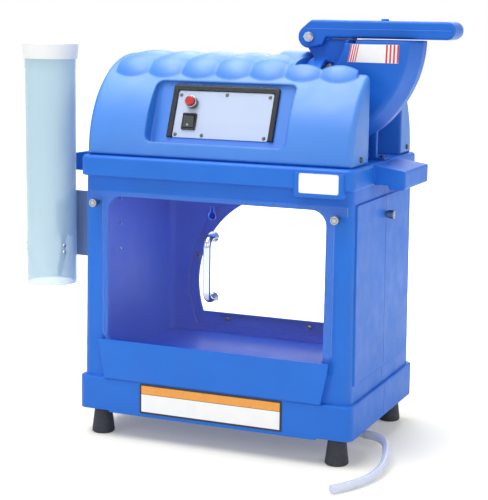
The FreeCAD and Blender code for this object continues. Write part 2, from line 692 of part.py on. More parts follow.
SLOT_LOW = "guard_bottom - moulded_clearance"
SLOT = [(SLOT_LEFT, SLOT_LOW), (SLOT_RIGHT, SLOT_LOW), (SLOT_RIGHT, "apron_top + 4"),
        (SLOT_LEFT, "apron_top + 4")]
pocket(shell, "XZ", "-body_half_depth + 1 - slot_width", "-body_half_depth + 1", [SLOT])
pocket(shell, "XZ", CAVITY_DEPTH + " - 1", WINDOW_SEAT,
       [window_loop(PANE_RADIUS + " + 3", PANE_BOTTOM + " - 4")])
pocket(shell, "XZ", CAVITY_DEPTH + " - 1", "body_half_depth + 2",
       [window_loop("window_radius", "window_bottom")])
CHUTE = rounded_loop(CHUTE_LEFT + " - moulded_clearance",
                     "drive_offset - %s - moulded_clearance" % CHUTE_HALF,
                     CHUTE_RIGHT + " + moulded_clearance",
                     "drive_offset + %s + moulded_clearance" % CHUTE_HALF, 2)
pocket(shell, "XY", RIM_TOP + " - floor_thickness - 1", RIM_TOP + " + 1", [CHUTE])
for side, y in DOME_LUGS:
    outer = signed(side, "dome_half_length - dome_wall")
    inner_x = signed(side, "dome_half_length - dome_wall - 12")
    low, high = (inner_x, outer) if side > 0 else (outer, inner_x)
    pad(shell, "XY", RIM_TOP + " - 1", LUG_HEIGHT + " + 8",
        [[(low, y + " - lug_half"), (high, y + " - lug_half"), (high, y + " + lug_half"),
          (low, y + " + lug_half")]])
drills = []
for sx, sy in FEET:
    drills.append(rod("foot_drill", "Z", (signed(sx, "foot_spread_x"), signed(sy, "foot_spread_y"),
                                          "foot_height - 1"), "3 + " + HOLD, 28))
for n, (x, z) in enumerate(PANE_SCREWS):
    drills.append(rod("pane_drill", "Y", (x, WINDOW_SEAT + " - 1", z), "2 + " + HOLD, 2.7))
for side in (-1, 1):
    drills.append(rod("knob_drill", "Y", (signed(side, "knob_spread"), "-body_half_depth - 2", "knob_level"),
                      "knob_shank + running_clearance", "wall + 4"))
drills.append(rod("side_drill", "X", ("body_half_width - wall - 2", "drive_offset", "side_knob_level"),
                  "knob_shank + running_clearance", "wall + 8"))
drills.append(rod("drain_drill", "Z", ("drain_x", "drain_y", "floor_level - floor_thickness - 1"),
                  "drain_radius + " + HOLD, "floor_thickness + 2"))
for x, y in DECK_SCREWS + [("post_x + post_screw", "drive_offset + 3")]:
    drills.append(rod("deck_drill", "Z", (x, y, RIM_TOP + " - floor_thickness - 1"), "2.5 + " + HOLD,
                      "floor_thickness + 2"))
for x, y in MOTOR_BOLTS:
    drills.append(rod("motor_drill", "Z", (x, y, RIM_TOP + " - floor_thickness - 1"), "3 + " + HOLD,
                      "floor_thickness + 2"))
for side, y in DOME_LUGS:
    drills.append(rod("lug_drill", "X" if side > 0 else "-X",
                      (signed(side, "dome_half_length - dome_wall - 13"), y, LUG_HEIGHT), "2 + " + HOLD,
                      14))
for z in BRACKET_SCREWS:
    drills.append(rod("bracket_drill", "-X", ("-" + CAVITY_WIDTH + " + 2",
                                              BRACKET_FACE + " + bracket_screw_back", z),
                      "bracket_screw_radius + " + HOLD, "wall + 10"))
piece("cabinet_shell", cut("cabinet_drilled", shell, drills))

pane = new_body("pane")
pad(pane, "XZ", WINDOW_SEAT + " - pane_thickness", WINDOW_SEAT, [
    window_loop(PANE_RADIUS, PANE_BOTTOM)] + [("circle", x, z, "2 + " + HOLD) for x, z in PANE_SCREWS])
piece("rear_window", pane)
piece("rear_window_screws",
      group("pane_screws", [screw("pane_screw_%d" % n, "-Y", (x, WINDOW_SEAT + " - pane_thickness", z), 4,
                                  2, 2, "pane_thickness + 1.6") for n, (x, z) in enumerate(PANE_SCREWS)]))

names = {(-1, -1): "foot_front_left", (1, -1): "foot_front_right", (-1, 1): "foot_rear_left",
         (1, 1): "foot_rear_right"}
foot_screws = []
for (sx, sy), node in names.items():
    x, y = signed(sx, "foot_spread_x"), signed(sy, "foot_spread_y")
    foot = turned(node + "_turned", [("3 + " + HOLD, 12), (9, 12), (9, 0), ("foot_tread_radius - 2", 0),
                                     ("foot_tread_radius", 2), ("foot_tread_radius", 5),
                                     ("foot_top_radius", "foot_height"), ("3 + " + HOLD, "foot_height")],
                  (x, y, 0))
    piece(node, foot)
    foot_screws.append(fused("foot_screw", [
        hexagon("foot_screw_head", "Z", (x, y, 7), 11, 5),
        rod("foot_screw_stem", "Z", (x, y, 12), 3, "foot_height + 12")]))
piece("feet_screws", group("feet_screw_set", foot_screws))

sign = new_body("sign")
pad(sign, "XZ", "-base_half_depth - sign_thickness", "-base_half_depth", [
    rounded_loop("-sign_half_width", "sign_bottom", "sign_half_width", "sign_top", 2)])
piece("front_plate", sign)

# drain: a flanged pipe through the bin's floor, an elbow and a barb for the hose
drain_parts = [rod("drain_flange", "Z", ("drain_x", "drain_y", "floor_level"), "drain_radius + 6", 3),
               rod("drain_pipe", "Z", ("drain_x", "drain_y", "drain_level - drain_radius"), "drain_radius",
                   "floor_level + 3 - drain_level + drain_radius"),
               rod("drain_arm", "X", ("drain_x", "drain_y", "drain_level"), "drain_radius - 0.8",
                   "barb_end - drain_x - 14"),
               rod("drain_barb", "X", ("drain_x", "drain_y", "drain_level"), "barb_radius",
                   "barb_end - drain_x")]
drain_bores = [rod("drain_bore", "Z", ("drain_x", "drain_y", "drain_level - drain_radius + 3"),
                   "drain_radius - 2", "floor_level"),
               rod("barb_bore", "X", ("drain_x", "drain_y", "drain_level"), "barb_radius - 1.6",
                   "barb_end - drain_x + 1")]
piece("drain_fitting", cut("drain_drilled", fused("drain_solid", drain_parts), drain_bores))


# ---------------------------------------------------------------- pipes along a route
def route_wire(points, bend=None):
    """Straight runs joined by tangent arcs."""
    points = [Vector(*p) for p in points]
    edges = []
    start = points[0]
    for before, corner, after in zip(points, points[1:], points[2:]):
        into = (corner - before).normalize()
        out = (after - corner).normalize()
        half_turn = into.getAngle(out) / 2
        room = min((corner - before).Length, (after - corner).Length)
        radius = bend if bend else 0.45 * room / math.tan(half_turn)
        back = radius * math.tan(half_turn)
        first, last = corner - into * back, corner + out * back
        inward = (out - into).normalize()
        centre = corner + inward * (radius / math.cos(half_turn))
        middle = centre - inward * radius
        edges.append(Part.LineSegment(start, first).toShape())
        edges.append(Part.Arc(first, middle, last).toShape())
        start = last
    edges.append(Part.LineSegment(start, points[-1]).toShape())
    return Part.Wire(edges)


def pipe(name, points, radius, bend=None):
    wire = route_wire(points, bend)
    heading = Vector(*points[1]) - Vector(*points[0])
    section = Part.Wire(Part.Circle(Vector(*points[0]), heading, radius).toShape())
    obj = doc.addObject("Part::Feature", name)
    obj.Shape = wire.makePipeShell([section], True, True)
    return obj, wire


# ---------------------------------------------------------------- drain hose
hose, hose_line = pipe("hose_pipe", HOSE_ROUTE, size("hose_radius"))
hose_solid = hose.Shape.Volume
expected = math.pi * size("hose_radius") ** 2 * hose_line.Length
arcs = [edge.Curve.Radius for edge in hose_line.Edges if hasattr(edge.Curve, "Radius")]
print("drain hose: length %.1f, tightest bend %.1f, volume %.4f of length x section" % (
    hose_line.Length, min(arcs), hose_solid / expected))
if abs(hose_solid / expected - 1) > 0.01 or min(arcs) < 4 * size("hose_radius"):
    raise RuntimeError("the drain hose is pinched")
hose.Label = "drain_hose"
PIECES.append(("drain_hose", hose))

# ---------------------------------------------------------------- guard
GUARD_LEFT, GUARD_RIGHT = "(guard_shift - guard_half_width)", "(guard_shift + guard_half_width)"
EAR_BOTTOM = "(knob_level + knob_shank + ear_clearance)"
guard = new_body("guard")
outline = [
    (GUARD_LEFT, "guard_bottom + guard_chamfer_height"),
    (GUARD_LEFT + " + guard_chamfer_width", "guard_bottom"),
    (GUARD_RIGHT + " - guard_chamfer_width", "guard_bottom"),
    (GUARD_RIGHT, "guard_bottom + guard_chamfer_height"),
    (GUARD_RIGHT, EAR_BOTTOM), ("guard_shift + guard_ear_half", EAR_BOTTOM),
    ("guard_shift + guard_ear_half", "guard_top"), ("guard_shift - guard_ear_half", "guard_top"),
    ("guard_shift - guard_ear_half", EAR_BOTTOM), (GUARD_LEFT, EAR_BOTTOM),
]
GRIP_FEET = ["grip_bottom + 6", "grip_top - 6"]
holes = [("circle", "guard_shift", z, "2 + " + HOLD) for z in GRIP_FEET]
pad(guard, "XZ", "-" + GUARD_FACE, "-" + GUARD_BACK, [outline] + holes)
keyhole = [("circle", 0, "keyhole_level", "keyhole_radius")]
pocket(guard, "XZ", "-" + GUARD_FACE, "-" + GUARD_BACK, keyhole)
key_slot = [("-keyhole_slot", "keyhole_level"), ("keyhole_slot", "keyhole_level"),
            ("keyhole_slot", "keyhole_top"), ("-keyhole_slot", "keyhole_top")]
pocket(guard, "XZ", "-" + GUARD_FACE, "-" + GUARD_BACK, [key_slot])
piece("guard_panel", guard)

GRIP_Y = -size(GUARD_FACE + " + grip_standoff")
grip_x = size("guard_shift")
low, high = (size(z) for z in GRIP_FEET)
grip_start = -size(GUARD_FACE) - 2
grip, grip_line = pipe("grip_bar", [
    (grip_x, grip_start, high), (grip_x, GRIP_Y, high), (grip_x, GRIP_Y, low), (grip_x, grip_start, low)],
    size("grip_radius"), size("grip_bend"))
flanges = [rod("grip_foot", "-Y", ("guard_shift", "-" + GUARD_FACE, z), "grip_radius + 3", 3)
           for z in GRIP_FEET]
bores = [rod("grip_bore", "-Y", ("guard_shift", "-" + GUARD_FACE + " + 1", z), "2 + " + HOLD, 13)
         for z in GRIP_FEET]
piece("guard_handle", cut("grip_drilled", fused("grip_solid", [grip] + flanges), bores))
piece("guard_handle_screws", group("grip_screws", [
    screw("grip_screw", "Y", ("guard_shift", "-" + GUARD_BACK, z), 4, 2, 1.2, 14) for z in GRIP_FEET]))


def knurled(name, axis, at, radius, length, ridges=16):
    """A round grip with lengthwise ridges."""
    core = rod(name + "_core", axis, at, "(%s) - 0.5" % radius, length)
    ribs = []
    for n in range(ridges):
        angle = 2 * math.pi * n / ridges
        across = [size(radius) * math.cos(angle) * 0.9, size(radius) * math.sin(angle) * 0.9]
        x, y, z = at
        if axis in ("X", "-X"):
            spot = (x, "(%s) + %.4f" % (y, across[0]), "(%s) + %.4f" % (z, across[1]))
        else:
            spot = ("(%s) + %.4f" % (x, across[0]), y, "(%s) + %.4f" % (z, across[1]))
        ribs.append(rod(name + "_rib", axis, spot, "(%s) * 0.1" % radius, length))
    return [core] + ribs


for side, node in ((-1, "guard_knob_left"), (1, "guard_knob_right")):
    x = signed(side, "knob_spread")
    face = "-" + wall_at("body_half_depth", "knob_level")
    clip = rod(node + "_clip", "Y", (x, "-" + CAVITY_DEPTH + " + 0.2", "knob_level"), "knob_shank + 2.5", 2)
    stem = rod(node + "_shank", "-Y", (x, "-" + CAVITY_DEPTH + " + 0.2", "knob_level"), "knob_shank",
               "knob_shank_length + wall - 1")
    head = knurled(node, "-Y", (x, "-(body_half_depth + 6.5)", "knob_level"), "knob_head", "knob_head_length")
    piece(node, fused(node + "_solid", [clip, stem] + head))
side_face = wall_at(PANEL_HALF, "side_knob_level")
at = ("drive_offset", "side_knob_level")
piece("side_knob", fused("side_knob_solid", [
    rod("side_clip", "-X", (CAVITY_WIDTH + " - 0.2", *at), "knob_shank + 2.5", 2),
    rod("side_shank", "X", (CAVITY_WIDTH + " - 0.2", *at), "knob_shank", "wall + 4"),
    taper("side_collar", "X", (side_face + " + 0.2", *at), "knob_head - 1.4", "knob_head - 1.4", 3),
    ] + knurled("side_knob_grip", "X", (side_face + " + 3", *at), "knob_head", "knob_head_length + 2")))

# ---------------------------------------------------------------- motor housing
LENGTH = "dome_half_length"


def scallops(name, crest, centre_y, centre_z, span=None):
    """The row of flutes turned about a line along X."""
    valley = "(%s) - lobe_rise" % crest
    bulge = "((lobe_pitch / 2)^2 + lobe_rise^2) / (2 * lobe_rise)"
    cusps = ["lobe_pitch * (%g)" % (n - size("lobe_count") / 2) for n in range(int(size("lobe_count")) + 1)]
    profile = [(cusps[0], 0)] + [(x, valley, bulge, 1)
                                 for x in cusps[:-1]] + [(cusps[-1], valley), (cusps[-1], 0)]
    body = new_body(name)
    feature = body.newObject("PartDesign::Revolution", name + "_turn")
    feature.Profile = sketched(body, "XZ", 0, [profile])
    feature.ReferenceAxis = (feature.Profile[0], ["H_Axis"])
    feature.Angle = 360
    if span is not None:
        feature.Midplane = True
        bind(feature, "Angle", span)
    return place(body, 0, centre_y, centre_z)


FLUTE_AXIS = "(lobe_top - lobe_radius)"
REACH = "asin(lobe_half_run / lobe_radius)"
NOSE_Y = "((lobe_radius - lobe_nose) * lobe_half_run / lobe_radius)"
NOSE_Z = "(%s + (lobe_radius - lobe_nose) * cos(%s))" % (FLUTE_AXIS, REACH)
arch = rod("arch", "X", ("-" + LENGTH, 0, RIM_TOP + " + dome_skirt"), "dome_radius", "2 * " + LENGTH)
half_space = box("arch_room", ("-" + LENGTH + " - 1", "-dome_radius - 1", RIM_TOP + " + seam_height"),
                 (LENGTH + " + 1", "dome_radius + 1", "lobe_top + 20"))
upper = common("arch_half", [arch, half_space])
arch_rounded = rounded("arch_rounded", upper, "dome_edge", lambda e: e.BoundBox.XLength < 1e-4
                       and e.BoundBox.ZLength > 50)
seam = box("seam", ("-" + LENGTH + " + seam_depth", "-dome_radius + seam_depth", RIM_TOP),
           (LENGTH + " - seam_depth", "dome_radius - seam_depth", RIM_TOP + " + seam_height + 1"))
hump = rod("hump", "X", ("bay_left - 3 - collar_width", "drive_offset", "drive_height"), "collar_radius",
           "collar_width")
hump_room = box("hump_room", ("bay_left - 4 - collar_width", "-dome_radius", "drive_height"),
                ("bay_left", "dome_radius", "lobe_top + 20"))
hump_rounded = common("hump_top", [rounded("hump_rounded", hump, 6, lambda e: e.BoundBox.XLength < 1e-4),
                                   hump_room])
flutes = [scallops("flutes", "lobe_radius", 0, FLUTE_AXIS, "2 * " + REACH),
          scallops("flute_noses_front", "lobe_nose", "-" + NOSE_Y, NOSE_Z),
          scallops("flute_noses_rear", "lobe_nose", NOSE_Y, NOSE_Z)]
flute_room = box("flute_room", ("-" + LENGTH, "-dome_radius", "drive_height + 4"),
                 (LENGTH, "dome_radius", "lobe_top + 20"))
flute_block = common("flute_block", [fused("flute_row", flutes), flute_room])
room = rod("housing_inside", "X", ("-" + LENGTH + " + dome_wall", 0, RIM_TOP + " + dome_skirt"),
           "dome_radius - dome_wall", "2 * (" + LENGTH + " - dome_wall)")
room_low = box("housing_foot_room", ("-" + LENGTH + " + dome_wall", "-dome_radius + dome_wall",
                                     RIM_TOP + " - 1"), (LENGTH + " - dome_wall", "dome_radius - dome_wall",
                                                         RIM_TOP + " + dome_skirt"))
above = box("above_deck", ("-" + LENGTH, "-dome_radius", RIM_TOP + " - 1"),
            (LENGTH, "dome_radius", "lobe_top"))
bay_jacket = box("bay_jacket", ("bay_left - dome_wall", "-bay_front - dome_wall", RIM_TOP + " - 2"),
                 (LENGTH + " + 1", "bay_rear + dome_wall", "lobe_top + 30"))
bay = box("bay", ("bay_left", "-bay_front", RIM_TOP + " - 2"), (LENGTH + " + 2", "bay_rear", "lobe_top + 30"))

# The control panel leans back: its pieces are built upright about the plate's middle
# (X along the plate, Z up it, -Y out of it) and tilted together.
LEAN = FreeCAD.Rotation(Vector(-1, 0, 0), size("console_tilt"))


def leaned(obj):
    obj.Placement = FreeCAD.Placement(Vector(), LEAN)
    bind(obj, ".Placement.Rotation.Angle", "console_tilt")
    bind(obj, ".Placement.Base.x", "console_x")
    bind(obj, ".Placement.Base.y", "console_y")
    bind(obj, ".Placement.Base.z", "console_z")
    return obj


FLOOR = "plate_thickness"
PLATE_SCREWS = [(-78.3, 32), (2.1, 34.6), (76.6, 33), (-78.1, -34.4), (-31.3, -34.4), (76.5, -34.4)]
recess = new_body("recess")
pad(recess, "XZ", -60, FLOOR, [rounded_loop("-recess_half_width", "-recess_half_height", "recess_half_width",
                                              "recess_half_height", "recess_corner")])
recess_jacket = new_body("recess_jacket")
pad(recess_jacket, "XZ", -60, FLOOR + " + dome_wall",
    [rounded_loop("-recess_half_width - dome_wall", "-recess_half_height - dome_wall",
                  "recess_half_width + dome_wall", "recess_half_height + dome_wall",
                  "recess_corner + dome_wall")])
SLEEVE_W, SLEEVE_H = "(bezel_half_width - 1.6)", "(bezel_half_height - 1.6)"
console_drills = [rod("plate_drill", "Y", (u, FLOOR + " - 1", v), "1.6 + " + HOLD, 5.5) for u,
                  v in PLATE_SCREWS]
console_drills.append(rod("button_drill", "Y", ("button_u", FLOOR + " - 1", "button_v"),
                          "button_collar_radius - 0.6 + " + HOLD, "dome_wall + 2"))
console_drills.append(box("rocker_drill", ("rocker_u - %s - %s" % (SLEEVE_W, HOLD), FLOOR + " - 1",
                                           "rocker_v - %s - %s" % (SLEEVE_H, HOLD)),
                          ("rocker_u + %s + %s" % (SLEEVE_W, HOLD), FLOOR + " + dome_wall + 1",
                           "rocker_v + %s + %s" % (SLEEVE_H, HOLD))))
console_cut = leaned(group("console_cut", console_drills))
shaft_hole = rod("shaft_hole", "X", ("bay_left - dome_wall - 1", "drive_offset", "drive_height"),
                 "shaft_radius + 4", "dome_wall + 2")
lug_holes = [rod("lug_hole", "X", (("-" + LENGTH + " - 1") if side < 0 else (LENGTH + " - dome_wall - 1"),
                                   y, LUG_HEIGHT), "2 + " + HOLD, "dome_wall + 2") for side, y in DOME_LUGS]
hollow = cut("housing_hollow", common("inside", [fused("inside_room", [room, room_low]), above]),
             [bay_jacket, leaned(recess_jacket)])
outer = fused("housing_outer", [arch_rounded, seam, hump_rounded, flute_block])
housing = cut("housing", outer, [hollow, bay, leaned(recess), console_cut, shaft_hole] + lug_holes)
piece("dome_housing", housing)
piece("dome_screws", group("dome_screw_set", [screw("dome_screw", "X" if side > 0 else "-X",
                                                    (signed(side, LENGTH), y, LUG_HEIGHT), 5, 2, 2.5,
                                                    "dome_wall + 10") for side, y in DOME_LUGS]))

# ---------------------------------------------------------------- control panel
plate = new_body("plate")
pad(plate, "XZ", 0, "plate_thickness", [
    rounded_loop("-plate_half_width", "-plate_half_height", "plate_half_width", "plate_half_height", 4)]
    + [("circle", u, v, "1.6 + " + HOLD) for u, v in PLATE_SCREWS]
    + [("circle", "button_u", "button_v", "button_collar_radius - 0.6 + " + HOLD)]
    + [[("rocker_u - %s - %s" % (SLEEVE_W, HOLD), "rocker_v - %s - %s" % (SLEEVE_H, HOLD)),
        ("rocker_u + %s + %s" % (SLEEVE_W, HOLD), "rocker_v - %s - %s" % (SLEEVE_H, HOLD)),
        ("rocker_u + %s + %s" % (SLEEVE_W, HOLD), "rocker_v + %s + %s" % (SLEEVE_H, HOLD)),
        ("rocker_u - %s - %s" % (SLEEVE_W, HOLD), "rocker_v + %s + %s" % (SLEEVE_H, HOLD))]])
piece("control_plate", leaned(plate))

trim = new_body("trim")
INNER, OUTER = "(plate_half_width + 0.5)", "(plate_half_width + 0.5 + trim_width)"
TRIM_LOW, TRIM_TOP = "-plate_half_height", "(plate_half_height + 0.5 + trim_width)"
pad(trim, "XZ", "-trim_proud", FLOOR, [[
    ("-" + OUTER, TRIM_LOW), ("-" + INNER, TRIM_LOW), ("-" + INNER, "plate_half_height + 0.5"),
    (INNER, "plate_half_height + 0.5"), (INNER, TRIM_LOW), (OUTER, TRIM_LOW),
    (OUTER, TRIM_TOP + " - 5", 5, -1), (OUTER + " - 5", TRIM_TOP), ("-" + OUTER + " + 5", TRIM_TOP, 5, -1),
    ("-" + OUTER, TRIM_TOP + " - 5")]])
fillet(trim, 2, lambda e: level_edge(e, "Y", -size("trim_proud")))
piece("control_trim", leaned(trim))
piece("control_screws",
      leaned(group("plate_screw_set", [screw("plate_screw", "-Y", (u, 0, v), 3.2, 1.6, 1.6,
                                             "plate_thickness + dome_wall - 1") for u, v in PLATE_SCREWS])))

at = ("button_u", "button_v")
STEM_END = "(plate_thickness + dome_wall + 6)"
collar = turned("collar_turned", [("button_radius + running_clearance", "-" + STEM_END),
                                  ("button_collar_radius - 0.6", "-" + STEM_END),
                                  ("button_collar_radius - 0.6", 0), ("button_collar_radius", 0),
                                  ("button_collar_radius", "button_collar_height - 1.5"),
                                  ("button_collar_radius - 1.5", "button_collar_height"),
                                  ("button_radius + running_clearance", "button_collar_height")],
                ("button_u", 0, "button_v"), "-Y")
nut = cut("collar_nut", hexagon("collar_hex", "Y", ("button_u", FLOOR + " + dome_wall", "button_v"), 24, 4),
          [rod("collar_nut_bore", "Y", ("button_u", FLOOR + " + dome_wall - 1", "button_v"),
               "button_collar_radius - 0.6", 6)])
piece("button_collar", leaned(fused("collar_and_nut", [collar, nut])))
BUTTON_BACK = "(%s + 2.05)" % STEM_END
button = turned("button_turned", [(0, "-" + BUTTON_BACK), ("button_radius + 1.6", "-" + BUTTON_BACK),
                                  ("button_radius + 1.6", "-%s - 0.05" % STEM_END),
                                  ("button_radius", "-%s - 0.05" % STEM_END),
                                  ("button_radius", "button_proud - 2", 2, -1),
                                  ("button_radius - 2", "button_proud"), (0, "button_proud")],
                ("button_u", 0, "button_v"), "-Y")
piece("motor_button", leaned(group("button_set", [button])))
SWITCH_FRONT = "(%s + button_travel + 0.3)" % BUTTON_BACK
cage = cut("switch_cage", box("switch_block", ("button_u - 17", FLOOR + " + dome_wall", "button_v - 17"),
                              ("button_u + 17", SWITCH_FRONT + " + 12", "button_v + 17")),
           [rod("cage_bore", "Y", ("button_u", FLOOR + " + dome_wall - 1", "button_v"), 14.3,
                SWITCH_FRONT + " - dome_wall - plate_thickness + 1")])
piece("button_switch", leaned(group("switch_set", [cage])))

bezel = new_body("bezel")
ROCKER_W, ROCKER_R = "rocker_half_width", "(rocker_half_height + 0.5)"
BORE_W, BORE_H = "(rocker_half_width + 0.2)", "(rocker_half_height + 0.7)"


def rectangle(u, v, half_u, half_v, extra="0"):
    a, b = "(%s + %s)" % (half_u, extra), "(%s + %s)" % (half_v, extra)
    return [("%s - %s" % (u, a), "%s - %s" % (v, b)), ("%s + %s" % (u, a), "%s - %s" % (v, b)),
            ("%s + %s" % (u, a), "%s + %s" % (v, b)), ("%s - %s" % (u, a), "%s + %s" % (v, b))]


opening = rectangle("rocker_u", "rocker_v", BORE_W, BORE_H)
SLEEVE_END = "(plate_thickness + dome_wall + 5)"
pad(bezel, "XZ", "-bezel_proud", 0, [rounded_loop(
    "rocker_u - bezel_half_width", "rocker_v - bezel_half_height", "rocker_u + bezel_half_width",
    "rocker_v + bezel_half_height", 2), opening])
pad(bezel, "XZ", 0, SLEEVE_END, [rectangle("rocker_u", "rocker_v", SLEEVE_W, SLEEVE_H), opening])
pin_bore = rod("pin_bore", "X", ("rocker_u - rocker_half_width - 1.2", "rocker_depth", "rocker_v"),
               "1.5 + running_clearance", "2 * rocker_half_width + 2.4")
piece("rocker_bezel", leaned(cut("bezel_drilled", bezel, [pin_bore])))
drum = rod("rocker_drum", "X", ("-" + ROCKER_W, 0, 0), ROCKER_R, "2 * " + ROCKER_W)
block = box("rocker_block", ("-" + ROCKER_W, -6, "-" + ROCKER_R), (ROCKER_W, 6, ROCKER_R))
pins = rod("rocker_pins", "X", ("-%s - 1" % ROCKER_W, 0, 0), 1.5, "2 * %s + 2" % ROCKER_W)
lamp_hole = rod("lamp_hole", "-Y", (-1.5, -4, -5), "2 + " + HOLD, 4)
rocker = cut("rocker_solid", fused("rocker_core", [common("rocker_face", [drum, block]), pins]), [lamp_hole])
rocker.Placement = FreeCAD.Placement(Vector(), FreeCAD.Rotation(Vector(1, 0, 0), size("rocker_throw") / 2))
bind(rocker, ".Placement.Rotation.Angle", "rocker_throw / 2")
place_rocker = ("rocker_u", "rocker_depth", "rocker_v")
for letter, value in zip("xyz", place_rocker):
    bind(rocker, ".Placement.Base." + letter, value)
piece("power_rocker", leaned(group("rocker_set", [rocker])))
lamp = rod("lamp_lens", "-Y", (-1.5, -4, -5), 2, 2.3)
lamp_tilted = group("lamp_tilted", [lamp])
lamp_tilted.Placement = FreeCAD.Placement(Vector(),
                                          FreeCAD.Rotation(Vector(1, 0, 0), size("rocker_throw") / 2))
bind(lamp_tilted, ".Placement.Rotation.Angle", "rocker_throw / 2")
for letter, value in zip("xyz", place_rocker):
    bind(lamp_tilted, ".Placement.Base." + letter, value)
piece("rocker_lamp", leaned(group("lamp_set", [lamp_tilted])))
piece("rocker_switch", leaned(group("rocker_switch_set", [box(
    "rocker_switch_block", ("rocker_u - " + SLEEVE_W, SLEEVE_END, "rocker_v - " + SLEEVE_H),
    ("rocker_u + " + SLEEVE_W, SLEEVE_END + " + 14", "rocker_v + " + SLEEVE_H))])))

# ---------------------------------------------------------------- motor and cutter
DRIVE = ("drive_offset", "drive_height")
SHAFT_BORE = "shaft_radius + running_clearance"
motor_left = MOTOR_LEFT + " + bell_length"
foot_low, foot_flat = CRADLE_TOP, CRADLE_TOP + " + 6"
stator = fused("stator", [
    rod("stator_can", "X", (motor_left, *DRIVE), "motor_radius", "motor_length"),
    box("stator_foot", (CRADLE_MIDDLE + " - 50", "drive_offset - 28", foot_low),
        (CRADLE_MIDDLE + " + 50", "drive_offset + 28", "drive_height - 30")),
    box("stator_flange", (CRADLE_MIDDLE + " - 50", "drive_offset - 44", foot_low),
        (CRADLE_MIDDLE + " + 50", "drive_offset + 44", foot_flat))])


def at_bolts(name, low, radius, length):
    """An upright hole at each motor bolt."""
    return [rod(name, "Z", (x, y, low), radius, length) for x, y in MOTOR_BOLTS]


stator_drills = [rod("stator_bore", "X", (motor_left + " - 1", *DRIVE), "shaft_radius + 4",
                     "motor_length + 2")]
piece("motor_body", cut("stator_drilled", stator,
                        stator_drills + at_bolts("stator_drill", foot_low + " - 1", "3 + " + HOLD, 8)))
bells = []
for axis, x in (("-X", motor_left), ("X", motor_left + " + motor_length")):
    bell = turned("bell_turned", [(SHAFT_BORE, 0), ("motor_radius", 0), ("motor_radius", 6),
                                  ("motor_radius - 6", "bell_length - 6"),
                                  ("shaft_radius + 12", "bell_length - 6"),
                                  ("shaft_radius + 12", "bell_length"), (SHAFT_BORE, "bell_length")],
                  (x, *DRIVE), axis)
    bells.append(bell)
piece("motor_end_bells", group("bell_set", bells))
cradle = box("cradle_block", (CRADLE_MIDDLE + " - cradle_length / 2", "drive_offset - cradle_half_width",
                              RIM_TOP), (CRADLE_MIDDLE + " + cradle_length / 2",
                                         "drive_offset + cradle_half_width", CRADLE_TOP))
piece("motor_cradle", cut("cradle_drilled", cradle, at_bolts("cradle_drill", RIM_TOP + " - 1",
                                                             "3 + " + HOLD, 17)))
piece("motor_bolts", group("motor_bolt_set", [
    fused("motor_bolt", [hexagon("motor_bolt_head", "Z", (x, y, foot_flat), 10, 4),
                         rod("motor_bolt_stem", "-Z", (x, y, foot_flat), 3, 24)])
    for x, y in MOTOR_BOLTS]))
DISC_FACE = "(bay_left + 5 + chamber_depth)"
shaft = turned("shaft_turned", [(0, MOTOR_LEFT + " - 4"), ("shaft_radius - 1", MOTOR_LEFT + " - 4"),
                                ("shaft_radius", MOTOR_LEFT + " - 3"),
                                ("shaft_radius", DISC_FACE + " - disc_thickness"),
                                ("spindle_radius", DISC_FACE + " - disc_thickness"),
                                ("spindle_radius", DISC_FACE + " + 4"), (0, DISC_FACE + " + 4")],
               (0, *DRIVE), "X")
piece("motor_shaft", shaft)
disc = new_body("disc")
BLADE_SCREWS = ["blade_slot_start + blade_screw_inset",
                "blade_slot_start + blade_length - blade_screw_inset"]
pad(disc, "YZ", DISC_FACE + " - disc_thickness", DISC_FACE, [("circle", 0, 0, "disc_radius"),
                                                             ("circle", 0, 0, "spindle_radius")])
place(disc, 0, *DRIVE)


def around(obj, turn):
    """Turn a piece built over the drive line to its place on the disc."""
    obj.Placement = FreeCAD.Placement(Vector(), turn)
    bind(obj, ".Placement.Base.y", DRIVE[0])
    bind(obj, ".Placement.Base.z", DRIVE[1])
    return obj


slots = []
blades = []
blade_screws = []
for n in range(int(size("blade_count"))):
    turn = FreeCAD.Rotation(Vector(1, 0, 0), 360 * n / size("blade_count"))
    slot = box("slot_block", (DISC_FACE + " - disc_thickness - 1", "-blade_width / 2 - blade_slot_width",
                              "blade_slot_start"),
               (DISC_FACE + " + 1", "-blade_width / 2", "blade_slot_start + blade_length"))
    slots.append(around(group("disc_slot", [slot]), turn))
    blade_box = box("blade_box", (DISC_FACE, "-blade_width / 2 - 2", "blade_slot_start + 1"),
                    (DISC_FACE + " + blade_thickness", "blade_width / 2",
                     "blade_slot_start - 1 + blade_length"))
    edge = box("blade_bevel", (DISC_FACE + " + 0.7", "-blade_width / 2 - 3", 0),
               (DISC_FACE + " + blade_thickness + 1", "-blade_width / 2", "disc_radius"))
    holes = [rod("blade_hole", "X", (DISC_FACE + " - 1", 3, z), "1.6 + " + HOLD, 6) for z in BLADE_SCREWS]
    blades.append(around(group("blade_%d" % n, [cut("blade_cut", blade_box, [edge] + holes)]), turn))
    for z in BLADE_SCREWS:
        drill = rod("disc_drill", "X", (DISC_FACE + " - disc_thickness - 1", 3, z), "1.6 + " + HOLD, 8)
        slots.append(around(group("disc_hole", [drill]), turn))
        held = screw("blade_screw", "X", (DISC_FACE + " + blade_thickness", 3, z), 2.8, 1.6, 1,
                     "blade_thickness + disc_thickness - 1")
        blade_screws.append(around(group("blade_screw_turned", [held]), turn))
piece("cutter_disc", cut("disc_drilled", disc, slots))
piece("cutter_blades", group("blade_set", blades))
piece("blade_screws", group("blade_screw_set", blade_screws))
piece("cutter_nut", cut("cutter_nut_cut", hexagon("cutter_hex", "X", (DISC_FACE, *DRIVE), 16, 3.5),
                        [rod("cutter_nut_bore", "X", (DISC_FACE + " - 1", *DRIVE), "spindle_radius", 6)]))

